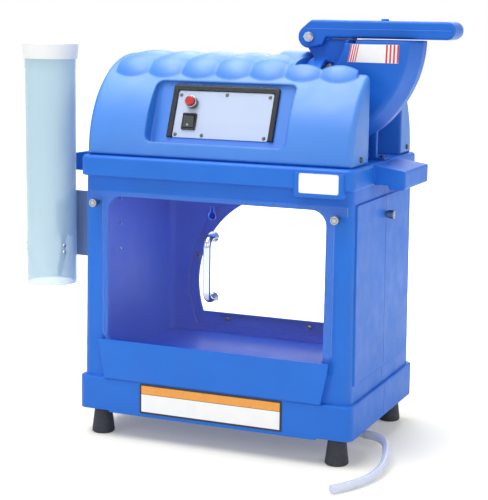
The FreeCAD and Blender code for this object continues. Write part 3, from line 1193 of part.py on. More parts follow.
# ---------------------------------------------------------------- chute under the cutter
CHUTE_DROP = "(%s - chute_drop)" % RIM_TOP
chute = new_body("chute")
outer_loop = rounded_loop(CHUTE_LEFT, "drive_offset - %s" % CHUTE_HALF, CHUTE_RIGHT,
                          "drive_offset + %s" % CHUTE_HALF, 2)
inner_loop = rounded_loop(CHUTE_LEFT + " + 2", "drive_offset - %s + 2" % CHUTE_HALF, CHUTE_RIGHT + " - 2",
                          "drive_offset + %s - 2" % CHUTE_HALF, 1)
pad(chute, "XY", CHUTE_DROP, RIM_TOP, [outer_loop, inner_loop])
flange_loop = rounded_loop("bay_left + 0.5", "drive_offset - tab_half_width", "bay_left + tab_length",
                           "drive_offset + tab_half_width", 3)
pad(chute, "XY", RIM_TOP, RIM_TOP + " + deck_foot", [flange_loop, inner_loop] + [
    ("circle", x, y, "2.5 + " + HOLD) for x, y in DECK_SCREWS])
piece("ice_chute", chute)

# ---------------------------------------------------------------- hopper
PIVOT = ("pivot_x", "pivot_z")
FACE_RUN = "(hopper_half_width - hopper_band)"


def pod(name, inset, edge):
    """A drum about the lever's pivot, narrowing toward its two faces."""
    radius, face = "(hopper_radius - %s)" % inset, "(hopper_face_radius - %s)" % inset
    run = "(hopper_half_width - hopper_band - %s)" % inset
    loop = [(0, "-hopper_band - " + run), (face, "-hopper_band - " + run), (radius, "-hopper_band"),
            (radius, "hopper_band"), (face, "hopper_band + " + run), (0, "hopper_band + " + run)]
    body = turned(name, loop, ("pivot_x", "drive_offset", "pivot_z"), "Y")
    fillet(body, edge, lambda e: abs(e.BoundBox.XLength - 2 * size(face)) < 0.01
           and e.BoundBox.ZLength < 0.01)
    return body


POD_LEFT = "(%s + 1.5)" % DISC_FACE
hopper_region = box("hopper_region", (POD_LEFT + " - hopper_wall", "drive_offset - hopper_half_width - 1",
                                      RIM_TOP), ("pivot_x + hopper_radius + 1",
                                                 "drive_offset + hopper_half_width + 1", "hopper_mouth"))
pod_outer = common("pod_outer", [pod("pod_turned", "0", "hopper_edge"), hopper_region])
ice_region = box("ice_region", (POD_LEFT, "drive_offset - hopper_half_width", RIM_TOP),
                 ("pivot_x + hopper_radius", "drive_offset + hopper_half_width", "hopper_mouth + 1"))
ice_room = common("ice_room", [pod("ice_turned", "hopper_wall", "hopper_edge - hopper_wall"), ice_region])


def side_blocks(name, half, reach, low, high, left, right):
    """Two blocks, one each side of the lever, from half out to reach."""
    return [box(name, (left, "drive_offset - (%s)" % reach, low),
                (right, "drive_offset - (%s)" % half, high)),
            box(name, (left, "drive_offset + (%s)" % half, low),
                (right, "drive_offset + (%s)" % reach, high))]


def relief(name, radius, half):
    """The hollow round the lever's hub, outside the neck."""
    disc_ = rod(name + "_round", "Y", ("pivot_x", "drive_offset - 70", "pivot_z"), radius, 140)
    return common(name, [disc_, fused(name + "_sides", side_blocks(
        name + "_side", half, 70, "drive_height", "pivot_z + 100", "bay_left - 1", "pivot_x + 200"))])


neck = new_body("neck")
pad(neck, "XZ", "drive_offset - neck_half_width", "drive_offset + neck_half_width", [[
    ("pivot_x - ear_radius * 0.9", "pivot_z - ear_radius * 0.45"), ("bay_left + 14", "pivot_z - 44"),
    (POD_LEFT + " - 1", "drive_height + 40"), ("pivot_x + hub_relief", "drive_height + 40"),
    ("pivot_x + hub_relief", "hopper_mouth"), ("pivot_x", "hopper_mouth")]])
ear = rod("ear", "Y", ("pivot_x", "drive_offset - neck_half_width", "pivot_z"), "ear_radius",
          "2 * neck_half_width")
drum_outer = rod("drum_outer", "X", ("bay_left + 0.5", *DRIVE), DRUM_RADIUS, DISC_FACE + " - bay_left + 1")
drum_foot = box("drum_foot", ("bay_left + 0.5", "drive_offset - drum_foot_half", RIM_TOP + " + deck_foot"),
                (DISC_FACE + " + 1.5", "drive_offset + drum_foot_half",
                 RIM_TOP + " + deck_foot + drum_foot_height"))
tabs = box("drum_tab", ("bay_left + 0.5", "drive_offset - tab_half_width", RIM_TOP + " + deck_foot"),
           ("bay_left + tab_length", "drive_offset + tab_half_width",
            RIM_TOP + " + deck_foot + tab_thickness"))
POST_TOP = "(pivot_z - sqrt((hopper_radius - hopper_wall)^2 - (post_x + 6 - pivot_x)^2) + 1)"
post = fused("post", [
    box("post_rib", ("post_x - post_half_length", "drive_offset - post_half_width", RIM_TOP),
        ("post_x + post_half_length", "drive_offset + post_half_width", POST_TOP)),
    box("post_tab", ("post_x - post_half_length", "drive_offset - 10", RIM_TOP),
        ("post_x + post_screw + 8", "drive_offset + 16", RIM_TOP + " + tab_thickness"))])
drum_room = rod("drum_room", "X", ("bay_left + 5", *DRIVE), "disc_radius + 4", DISC_FACE + " - bay_left + 8")
shaft_room = rod("shaft_room", "X", ("bay_left - 1", *DRIVE), "shaft_radius + 1.5", 10)
fall = box("ice_fall", (CHUTE_LEFT + " + 3", "drive_offset - %s + 4" % CHUTE_HALF, RIM_TOP),
           (CHUTE_RIGHT + " - 2", "drive_offset + %s - 4" % CHUTE_HALF, "drive_height - 40"))
stem_slot = box("stem_slot", (POD_LEFT, "drive_offset - pusher_stem_half - 2", "drive_height"),
                ("pivot_x + hub_relief + 10", "drive_offset + pusher_stem_half + 2", "hopper_mouth + 1"))
notch = box("rim_notch", ("pivot_x + 69", "drive_offset - hopper_half_width - 1", "hopper_mouth - 4.5"),
            ("pivot_x + 88", "drive_offset - hopper_half_width + hopper_wall + 1", "hopper_mouth + 1"))
pod_shell = cut("pod_shell", pod_outer, [relief("hub_hollow", "hub_relief", "neck_half_width")])
ice_space = cut("ice_space", ice_room, [relief("hub_wall", "hub_relief + hopper_wall",
                                               "neck_half_width - hopper_wall")])
hopper_drills = [rod("tab_drill", "Z", (x, y, RIM_TOP), "2.5 + " + HOLD, 12) for x, y in DECK_SCREWS]
hopper_drills.append(rod("post_drill", "Z", ("post_x + post_screw", "drive_offset + 3", RIM_TOP + " - 1"),
                         "2.5 + " + HOLD, 8))
hopper_drills.append(rod("pivot_drill", "Y", ("pivot_x", "drive_offset - 30", "pivot_z"),
                         "pivot_bolt_radius + running_clearance", 60))
inside_pod = cut("post_clear", post, [pod("post_top", "hopper_wall", "hopper_edge - hopper_wall")])
hopper = cut("hopper_cut", fused("hopper_solid", [pod_shell, neck, ear, drum_outer, drum_foot, tabs,
                                                  inside_pod]),
             [ice_space, drum_room, shaft_room, fall, stem_slot, notch] + hopper_drills)
piece("hopper", hopper)
deck_bolts = [screw("deck_screw", "Z", (x, y, RIM_TOP + " + deck_foot + tab_thickness"), 4.6, 2.5, 3,
                    "deck_foot + tab_thickness + floor_thickness + 4") for x, y in DECK_SCREWS]
deck_bolts.append(screw("post_screw", "Z", ("post_x + post_screw", "drive_offset + 3",
                                            RIM_TOP + " + tab_thickness"), 4.6, 2.5, 3,
                        "tab_thickness + floor_thickness + 4"))
piece("hopper_screws", group("deck_screw_set", deck_bolts))

# ---------------------------------------------------------------- lever
LEVER_LOW, LEVER_HIGH = "drive_offset - lever_half_width", "drive_offset + lever_half_width"
TIP = "((lever_top - lever_under) / 2)"
lever = new_body("lever")
CHAMFER_X, CHAMFER_Z = "pivot_x - hub_radius * 0.643", "pivot_z + hub_radius * 0.766"
pad(lever, "XZ", LEVER_LOW, LEVER_HIGH, [[
    ("pivot_x", "pivot_z - hub_radius"), ("pivot_x + cheek_end - 1", "pivot_z - 12.5"),
    ("pivot_x + cheek_end + 4", "lever_under"), ("lever_end - " + TIP, "lever_under", TIP + " + 0.01", -1),
    ("lever_end - " + TIP, "lever_top"), ("pivot_x + 4", "lever_top"),
    (CHAMFER_X, CHAMFER_Z, "hub_radius", -1)]])
fillet(lever, 4, lambda e: (level_edge(e, "Y", size(LEVER_LOW)) or level_edge(e, "Y", size(LEVER_HIGH)))
       and e.BoundBox.ZMax > size("lever_under") - 0.01 and e.BoundBox.XMin > size("pivot_x") - 0.01
       and e.BoundBox.XLength > 5 and e.BoundBox.ZMax - e.BoundBox.ZMin < 29)
pocket(lever, "XZ", "drive_offset - neck_half_width - 0.5", "drive_offset + neck_half_width + 0.5", [[
    ("pivot_x - hub_radius - 5", "pivot_z - 40"), ("pivot_x + cheek_end + 4", "pivot_z - 40"),
    ("pivot_x + cheek_end + 4", "lever_top + 5"), ("pivot_x - hub_radius - 5", "lever_top + 5")]])
bolt_x = ["pusher_x + 10", "pusher_x + 27"]
cap_x = "(pivot_x + 119)"
lever_drills = [rod("bush_bore", "Y", ("pivot_x", "drive_offset - 40", "pivot_z"), "bush_radius", 80),
                rod("cap_bore", "-Z", (cap_x, "drive_offset", "lever_top + 1"), "3 + " + HOLD, 10)]
lever_drills += [rod("pusher_drill", "Z", (x, "drive_offset", "lever_under - 1"), "2.5 + " + HOLD, 16)
                 for x in bolt_x]
piece("lever_arm", cut("lever_drilled", lever, lever_drills))
bushes = []
for sign_, name in ((-1, "bush_front"), (1, "bush_rear")):
    start = signed(sign_, "neck_half_width + 0.05")
    axis = "-Y" if sign_ < 0 else "Y"
    bushes.append(turned(name, [("pivot_bolt_radius + running_clearance", 0), ("bush_radius + 2", 0),
                                ("bush_radius + 2", 0.4), ("bush_radius", 0.4),
                                ("bush_radius", "lever_half_width - neck_half_width + 0.3"),
                                ("pivot_bolt_radius + running_clearance",
                                 "lever_half_width - neck_half_width + 0.3")],
                         ("pivot_x", "drive_offset + " + start, "pivot_z"), axis))
piece("lever_bushes", group("bush_set", bushes))
BOLT_OUT = "(lever_half_width + 0.4)"
piece("pivot_bolt", fused("pivot_bolt_solid",
                          [rod("pivot_stem", "Y", ("pivot_x", "drive_offset - " + BOLT_OUT, "pivot_z"),
                               "pivot_bolt_radius", "2 * " + BOLT_OUT + " + 8"),
                           rod("pivot_washer", "-Y", ("pivot_x", "drive_offset - " + BOLT_OUT, "pivot_z"),
                               "bush_radius + 1", 1), hexagon("pivot_head", "-Y",
                                                              ("pivot_x",
                                                               "drive_offset - %s - 1" % BOLT_OUT,
                                                               "pivot_z"), 13, "pivot_bolt_head")]))
piece("pivot_nut", cut("pivot_nut_cut", hexagon("pivot_hex", "Y",
                                                ("pivot_x", "drive_offset + " + BOLT_OUT, "pivot_z"), 13,
                                                6.5),
                       [rod("pivot_nut_bore", "Y", ("pivot_x", "drive_offset + %s - 1" % BOLT_OUT,
                                                    "pivot_z"), "pivot_bolt_radius", 9)]))
cap = fused("cap_solid", [taper("cap_head", "Z", (cap_x, "drive_offset", "lever_top"), 7, 5.5, 3),
                          rod("cap_pin", "-Z", (cap_x, "drive_offset", "lever_top"), 3, 7)])
piece("lever_cap", cap)
pusher = new_body("pusher")
HALF_STEM = "pusher_stem_half"
pad(pusher, "YZ", "pusher_x", "pusher_x + pusher_thickness",
    [[("drive_offset - pusher_half_width", "pusher_bottom + 16"),
      ("drive_offset - pusher_half_width + 22", "pusher_bottom"),
      ("drive_offset + pusher_half_width - 22", "pusher_bottom"),
      ("drive_offset + pusher_half_width", "pusher_bottom + 16"),
      ("drive_offset + pusher_half_width", "pusher_top - 8"), ("drive_offset + pusher_half_width - 8",
                                                               "pusher_top"),
      ("drive_offset + " + HALF_STEM, "pusher_top"), ("drive_offset + " + HALF_STEM, "lever_under"),
      ("drive_offset - " + HALF_STEM, "lever_under"), ("drive_offset - " + HALF_STEM, "pusher_top"),
      ("drive_offset - pusher_half_width + 8", "pusher_top"), ("drive_offset - pusher_half_width",
                                                               "pusher_top - 8")]])
pad(pusher, "XZ", "drive_offset - " + HALF_STEM, "drive_offset + " + HALF_STEM,
    [[("pusher_x", "lever_under - pusher_thickness"), ("pusher_x + pusher_flange",
                                                       "lever_under - pusher_thickness"),
      ("pusher_x + pusher_flange", "lever_under"), ("pusher_x", "lever_under")]])
pad(pusher, "XZ", "drive_offset - 2", "drive_offset + 2", [[
    ("pusher_x + 2", "pusher_bottom + 6"), ("pusher_x + pusher_thickness + 5", "pusher_bottom + 14"),
    ("pusher_x + pusher_thickness + 5", "pusher_top + 40"), ("pusher_x + 2", "pusher_top + 52")]])
pusher_drills = [rod("flange_drill", "Z", (x, "drive_offset", "lever_under - pusher_thickness - 1"),
                     "2.5 + " + HOLD, 8) for x in bolt_x]
piece("pusher_plate", cut("pusher_drilled", pusher, pusher_drills))
piece("pusher_bolts", group("pusher_bolt_set",
                            [fused("pusher_bolt",
                                   [hexagon("pusher_bolt_head", "-Z",
                                            (x, "drive_offset", "lever_under - pusher_thickness"), 8, 3.2),
                                    rod("pusher_bolt_stem", "Z",
                                        (x, "drive_offset", "lever_under - pusher_thickness"), 2.5, 17)])
                             for x in bolt_x]))

# ---------------------------------------------------------------- cup dispenser
TUBE = ("tube_x", "tube_y")
INSIDE = "(tube_radius - tube_wall)"
FINGERS = [60, -60, 180]
RIVETS_Z = [313, 302]
TAB_RIVETS = [335, 368]


def round_tube(obj, azimuth):
    """Turn a piece built in front of the tube's axis (at -Y) round that axis."""
    obj.Placement = FreeCAD.Placement(Vector(), FreeCAD.Rotation(Vector(0, 0, 1), azimuth))
    bind(obj, ".Placement.Base.x", "tube_x")
    bind(obj, ".Placement.Base.y", "tube_y")
    return obj


tube = turned("tube_turned", [(INSIDE, "tube_bottom"), ("tube_radius", "tube_bottom"),
                              ("tube_radius", "tube_top"), (INSIDE, "tube_top")], ("tube_x", "tube_y", 0))
tube_drills = [round_tube(group("rivet_drill", [rod("tube_drill", "-Y", (0, "-%s + 3" % INSIDE, z),
                                                    "1.6 + " + HOLD, 8)]), a) for a in FINGERS
               for z in RIVETS_Z]
tube_drills += [round_tube(group("tab_drill", [rod("tab_tube_drill", "-Y", (0, "-%s + 3" % INSIDE, z),
                                                   "1.6 + " + HOLD, 8)]), 180) for z in TAB_RIVETS]
piece("cup_tube", cut("tube_drilled", tube, tube_drills))
CAP_LOW = "(tube_top + cap_roof - cap_height)"
piece("cup_cap", turned("cup_cap_turned", [
    ("tube_radius + moulded_clearance", CAP_LOW), ("cap_skirt_radius", CAP_LOW),
    ("cap_radius", "tube_top + cap_roof - 2"), ("cap_radius - 2", "tube_top + cap_roof"),
    (0, "tube_top + cap_roof"), (0, "tube_top"), ("tube_radius + moulded_clearance", "tube_top")],
    ("tube_x", "tube_y", "running_clearance")))
KNEE = "finger_knee"
fingers = []
for a in FINGERS:
    strap = new_body("finger")
    surface = "(sqrt((%s)^2 - (finger_width / 2)^2))" % INSIDE
    pad(strap, "YZ", "-finger_width / 2", "finger_width / 2",
        [[("-" + surface, KNEE), ("-%s" % surface, "finger_top"),
          ("-%s + finger_thickness" % surface, "finger_top"), ("-%s + finger_thickness" % surface, KNEE),
          ("-%s + finger_reach + finger_thickness" % surface, "finger_tip"),
          ("-%s + finger_reach" % surface, "finger_tip")]])
    holes = [rod("finger_hole", "-Y", (0, "-%s + 3" % INSIDE, z), "1.6 + " + HOLD, 8) for z in RIVETS_Z]
    fingers.append(round_tube(group("finger_at", [cut("finger_drilled", strap, holes)]), a))
piece("cup_fingers", group("finger_set", fingers))
rivets = []
for a in FINGERS:
    for z in RIVETS_Z:
        head_out = "-tube_radius"
        head_in = "-%s + finger_thickness + 0.1" % INSIDE
        rivets.append(round_tube(group("rivet_at", [fused("rivet", [
            taper("rivet_head", "-Y", (0, head_out, z), 3, 2, 1.4),
            rod("rivet_stem", "-Y", (0, head_in + " + 0.3", z), 1.6, "tube_wall + finger_thickness + 0.3"),
            taper("rivet_tail", "Y", (0, "-%s + finger_thickness + 0.3" % INSIDE, z), 2.6, 2, 1)])]), a))
for z in TAB_RIVETS:
    rivets.append(round_tube(group("rivet_at",
                                   [fused("tab_rivet",
                                          [taper("tab_rivet_head", "-Y",
                                                 (0, "-tube_radius - bracket_thickness", z), 3, 2, 1.4),
                                           rod("tab_rivet_stem", "-Y", (0, "-%s + 0.15" % INSIDE, z), 1.6,
                                               "tube_wall + bracket_thickness + 0.15"),
                                           taper("tab_rivet_tail", "Y", (0, "-%s + 0.15" % INSIDE, z), 2.6,
                                                 2, 1)])]), 180))
piece("cup_rivets", group("rivet_set", rivets))
bracket = new_body("bracket")
side_low, side_high = wall_at(PANEL_HALF, "bracket_bottom"), wall_at(PANEL_HALF, "bracket_top")
pad(bracket, "XZ", BRACKET_FACE, BRACKET_FACE + " + bracket_thickness", [[
    ("tube_x - bracket_tab_half", "bracket_tab_bottom"), ("tube_x + bracket_tab_half", "bracket_tab_bottom"),
    ("tube_x + bracket_tab_half", "bracket_bottom"), ("-" + side_low, "bracket_bottom"),
    ("-" + side_high, "bracket_top"), ("tube_x + bracket_tab_half", "bracket_top"),
    ("tube_x", "bracket_tab_top"), ("tube_x - bracket_tab_half", "bracket_tab_top")]]
    + [("circle", "tube_x", z, "1.6 + " + HOLD) for z in TAB_RIVETS])
pad(bracket, "XZ", BRACKET_FACE, BRACKET_FACE + " + bracket_flange", [[
    ("-%s - bracket_thickness" % side_low, "bracket_bottom"), ("-" + side_low, "bracket_bottom"),
    ("-" + side_high, "bracket_top"), ("-%s - bracket_thickness" % side_high, "bracket_top")]])
bracket_drills = [rod("flange_hole", "-X", ("-body_half_width + 10", BRACKET_FACE + " + bracket_screw_back",
                                            z), "bracket_screw_radius + " + HOLD, 20)
                  for z in BRACKET_SCREWS]
piece("cup_bracket", cut("bracket_drilled", bracket, bracket_drills))
piece("bracket_screws", group("bracket_screw_set",
                              [screw("bracket_screw", "-X",
                                     ("-%s - bracket_thickness - 0.03" % wall_at(PANEL_HALF, z),
                                      BRACKET_FACE + " + bracket_screw_back", z), 4.6,
                                     "bracket_screw_radius", 2.6, "bracket_thickness + wall + 4")
                               for z in BRACKET_SCREWS]))

# ---------------------------------------------------------------- finish
doc.recompute()
os.makedirs("parts", exist_ok=True)
problems = []
for obj in doc.Objects:
    if "Invalid" in obj.State or "Error" in obj.State:
        problems.append("%s is %s" % (obj.Label, obj.State))
for node, obj in PIECES:
    shape = obj.Shape
    if shape.isNull() or not shape.isValid() or shape.Volume <= 0:
        problems.append(node + " has no valid solid")
        continue
    b = shape.BoundBox
    print("%-20s solids %2d  x %.1f %.1f  y %.1f %.1f  z %.1f %.1f" % (
        node, len(shape.Solids), b.XMin, b.XMax, b.YMin, b.YMax, b.ZMin, b.ZMax))
    shape.exportStep("parts/%s.step" % node)
if problems:
    raise RuntimeError("; ".join(problems))
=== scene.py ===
import math

import bmesh
import bpy
from mathutils import Matrix, Vector
from mathutils.bvhtree import BVHTree


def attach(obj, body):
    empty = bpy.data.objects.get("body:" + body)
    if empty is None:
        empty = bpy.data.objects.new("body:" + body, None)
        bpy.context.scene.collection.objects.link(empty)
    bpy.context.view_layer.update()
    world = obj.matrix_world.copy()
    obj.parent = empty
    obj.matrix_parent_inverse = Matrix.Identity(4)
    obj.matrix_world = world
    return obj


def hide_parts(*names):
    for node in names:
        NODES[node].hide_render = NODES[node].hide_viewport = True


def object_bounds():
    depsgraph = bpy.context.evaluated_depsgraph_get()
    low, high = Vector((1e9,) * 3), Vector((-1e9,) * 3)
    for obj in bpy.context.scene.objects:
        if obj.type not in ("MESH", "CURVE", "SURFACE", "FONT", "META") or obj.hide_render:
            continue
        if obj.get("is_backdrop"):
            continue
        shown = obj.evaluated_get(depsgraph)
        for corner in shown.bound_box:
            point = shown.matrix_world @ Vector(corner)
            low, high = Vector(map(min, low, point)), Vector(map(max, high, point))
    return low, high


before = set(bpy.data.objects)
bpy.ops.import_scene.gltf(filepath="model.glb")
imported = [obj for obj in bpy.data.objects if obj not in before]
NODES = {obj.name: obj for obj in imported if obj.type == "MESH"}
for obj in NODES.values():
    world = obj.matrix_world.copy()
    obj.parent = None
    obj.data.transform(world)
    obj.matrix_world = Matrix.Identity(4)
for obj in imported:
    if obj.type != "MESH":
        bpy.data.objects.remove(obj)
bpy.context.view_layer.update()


def placed(name, data):
    """A new object in the scene for a mesh, a curve, a camera or a light."""
    obj = bpy.data.objects.new(name, data)
    bpy.context.collection.objects.link(obj)
    return obj


# ---------------------------------------------------------------- camera
CAMERA_AT = (0.9309, -2.201, 0.7132)
YAW, PITCH, ROLL = (math.radians(angle) for angle in (22.85, 9.61, 0.79))
FOCAL_PIXELS, PICTURE_WIDTH = 1429.4, 488
SENSOR_WIDTH = 36


def add_camera():
    ahead = Vector((-math.sin(YAW) * math.cos(PITCH), math.cos(YAW) * math.cos(PITCH), -math.sin(PITCH)))
    level = Vector((math.cos(YAW), math.sin(YAW), 0))
    above = level.cross(ahead)
    right = level * math.cos(ROLL) + above * math.sin(ROLL)
    up = -level * math.sin(ROLL) + above * math.cos(ROLL)
    lens = bpy.data.cameras.new("camera")
    lens.sensor_fit = "HORIZONTAL"
    lens.sensor_width = SENSOR_WIDTH
    lens.lens = FOCAL_PIXELS * SENSOR_WIDTH / PICTURE_WIDTH
    camera = placed("camera", lens)
    turn = Matrix((right, up, -ahead)).transposed().to_4x4()
    camera.matrix_world = Matrix.Translation(CAMERA_AT) @ turn
    bpy.context.scene.camera = camera


add_camera()


# ---------------------------------------------------------------- materials
def linear(r, g, b):
    """A screen colour, 0 to 255, as the shader's linear colour."""
    def one(c):
        c = c / 255
        return c / 12.92 if c <= 0.04045 else ((c + 0.055) / 1.055) ** 2.4
    return (one(r), one(g), one(b), 1.0)


def shade(color, factor):
    """A lighter or darker tone of a linear colour."""
    return tuple(min(1.0, c * factor) for c in color[:3]) + (1.0,)


class Surface:
    """A Principled material with procedural layers in object space.

    rough is the span of its roughness, mottle the size and depth of its slow colour
    change, grain the size and depth of its bump, edge the radius over which the shading
    turns at an edge, and the last argument how far the colour pales there: partly rubbed
    wear, partly a painted highlight along the edge.
    """

    BUMP_HEIGHT = 0.0003
    BEVEL_SAMPLES = 6
    FINER = 3.7
    NOISE_SPAN = (0.3, 0.7)
    RUB_SIZE, RUB_DETAIL = 45, 5
    TURNED_SPAN = (0.78, 0.99)
    EDGE_ON_SPAN = (0.4, 0.9)
    ROUND_SPAN = (0.1, 0.95)

    def __init__(self, name, color, rough, metallic=0.0, mottle=(12, 0.05), grain=(500, 0.08),
                 edge=0.0, wear_and_highlight=0.0, stretch=(1, 1, 1), **sockets):
        self.material = bpy.data.materials.new(name)
        self.material.use_nodes = True
        self.nodes = self.material.node_tree.nodes
        self.links = self.material.node_tree.links
        self.shader = self.nodes["Principled BSDF"]
        self.shader.inputs["Base Color"].default_value = color
        self.shader.inputs["Metallic"].default_value = metallic
        for key, value in sockets.items():
            self.shader.inputs[key.replace("_", " ")].default_value = value
        self.coords = self.nodes.new("ShaderNodeTexCoord")
        mottle_size, mottle_depth = mottle
        tone = self.ramp(self.noise(mottle_size, 4, stretch), shade(color, 1 - mottle_depth),
                         shade(color, 1 + mottle_depth))
        bump = self.nodes.new("ShaderNodeBump")
        bump.inputs["Strength"].default_value = grain[1]
        bump.inputs["Distance"].default_value = self.BUMP_HEIGHT
        self.links.new(self.noise(grain[0], 2, stretch), bump.inputs["Height"])
        if edge:
            bevel = self.nodes.new("ShaderNodeBevel")
            bevel.samples = self.BEVEL_SAMPLES
            bevel.inputs["Radius"].default_value = edge
            self.links.new(bevel.outputs["Normal"], bump.inputs["Normal"])
            # paler edges: partly rubbed wear, partly a painted highlight along the edge
            if wear_and_highlight:
                tone = self.paled_wear_and_highlight(tone, bevel, shade(color, 1 + wear_and_highlight))
        self.links.new(bump.outputs["Normal"], self.shader.inputs["Normal"])
        self.links.new(tone, self.shader.inputs["Base Color"])
        patches = self.ramp(self.noise(mottle_size * self.FINER, 4, stretch), *rough)
        self.links.new(patches, self.shader.inputs["Roughness"])

    def noise(self, scale, detail, stretch=(1, 1, 1)):
        mapping = self.nodes.new("ShaderNodeMapping")
        mapping.inputs["Scale"].default_value = stretch
        self.links.new(self.coords.outputs["Object"], mapping.inputs["Vector"])
        texture = self.nodes.new("ShaderNodeTexNoise")
        texture.inputs["Scale"].default_value = scale
        texture.inputs["Detail"].default_value = detail
        self.links.new(mapping.outputs["Vector"], texture.inputs["Vector"])
        return texture.outputs["Fac"]

    def ramp(self, source, low, high, span=NOISE_SPAN):
        """low to high, two greys or two colours, over a span of the source."""
        ramp = self.nodes.new("ShaderNodeValToRGB")
        for element, at, color in zip(ramp.color_ramp.elements, span, (low, high)):
            element.position = at
            element.color = color if isinstance(color, tuple) else (color, color, color, 1)
        self.links.new(source, ramp.inputs["Fac"])
        return ramp.outputs["Color"]

    def paled_wear_and_highlight(self, tone, bevel, worn_highlight_color):
        """Rubbed edges with a painted highlight: the colour pales where the surface turns, partly as wear,
        partly as the light an edge would catch.
        """
        geometry = self.nodes.new("ShaderNodeNewGeometry")
        turned = self.nodes.new("ShaderNodeVectorMath")
        turned.operation = "DOT_PRODUCT"
        self.links.new(bevel.outputs["Normal"], turned.inputs[0])
        self.links.new(geometry.outputs["Normal"], turned.inputs[1])
        worn_highlight_mask = self.nodes.new("ShaderNodeMath")
        worn_highlight_mask.operation = "MULTIPLY"
        self.links.new(self.ramp(turned.outputs["Value"], 1.0, 0.0, self.TURNED_SPAN), worn_highlight_mask.inputs[0])
        self.links.new(self.ramp(self.noise(self.RUB_SIZE, self.RUB_DETAIL), 0.25, 1.0), worn_highlight_mask.inputs[1])
        mix = self.nodes.new("ShaderNodeMix")
        mix.data_type = "RGBA"
        self.links.new(worn_highlight_mask.outputs[0], mix.inputs[0])
        self.links.new(tone, mix.inputs[6])
        mix.inputs[7].default_value = worn_highlight_color
        return mix.outputs[2]

    def clear_sheet(self, axis, face, rim, rim_color):
        """Clear sheet that faces along an axis: thin to look through, denser in its sawn edges."""
        parts = self.nodes.new("ShaderNodeSeparateXYZ")
        self.links.new(self.coords.outputs["Normal"], parts.inputs[0])
        facing = self.nodes.new("ShaderNodeMath")
        facing.operation = "ABSOLUTE"
        self.links.new(parts.outputs[axis], facing.inputs[0])
        base = tuple(self.shader.inputs["Base Color"].default_value)
        tone = self.ramp(facing.outputs[0], rim_color, base, self.EDGE_ON_SPAN)
        self.links.new(tone, self.shader.inputs["Base Color"])
        alpha = self.ramp(facing.outputs[0], rim, face, self.EDGE_ON_SPAN)
        self.links.new(alpha, self.shader.inputs["Alpha"])
        return self

    def round_wall(self, face, rim):
        """See-through round wall: denser where it is seen along its thickness."""
        weight = self.nodes.new("ShaderNodeLayerWeight")
        weight.inputs["Blend"].default_value = 0.5
        alpha = self.ramp(weight.outputs["Facing"], face, rim, self.ROUND_SPAN)
        self.links.new(alpha, self.shader.inputs["Alpha"])
        return self


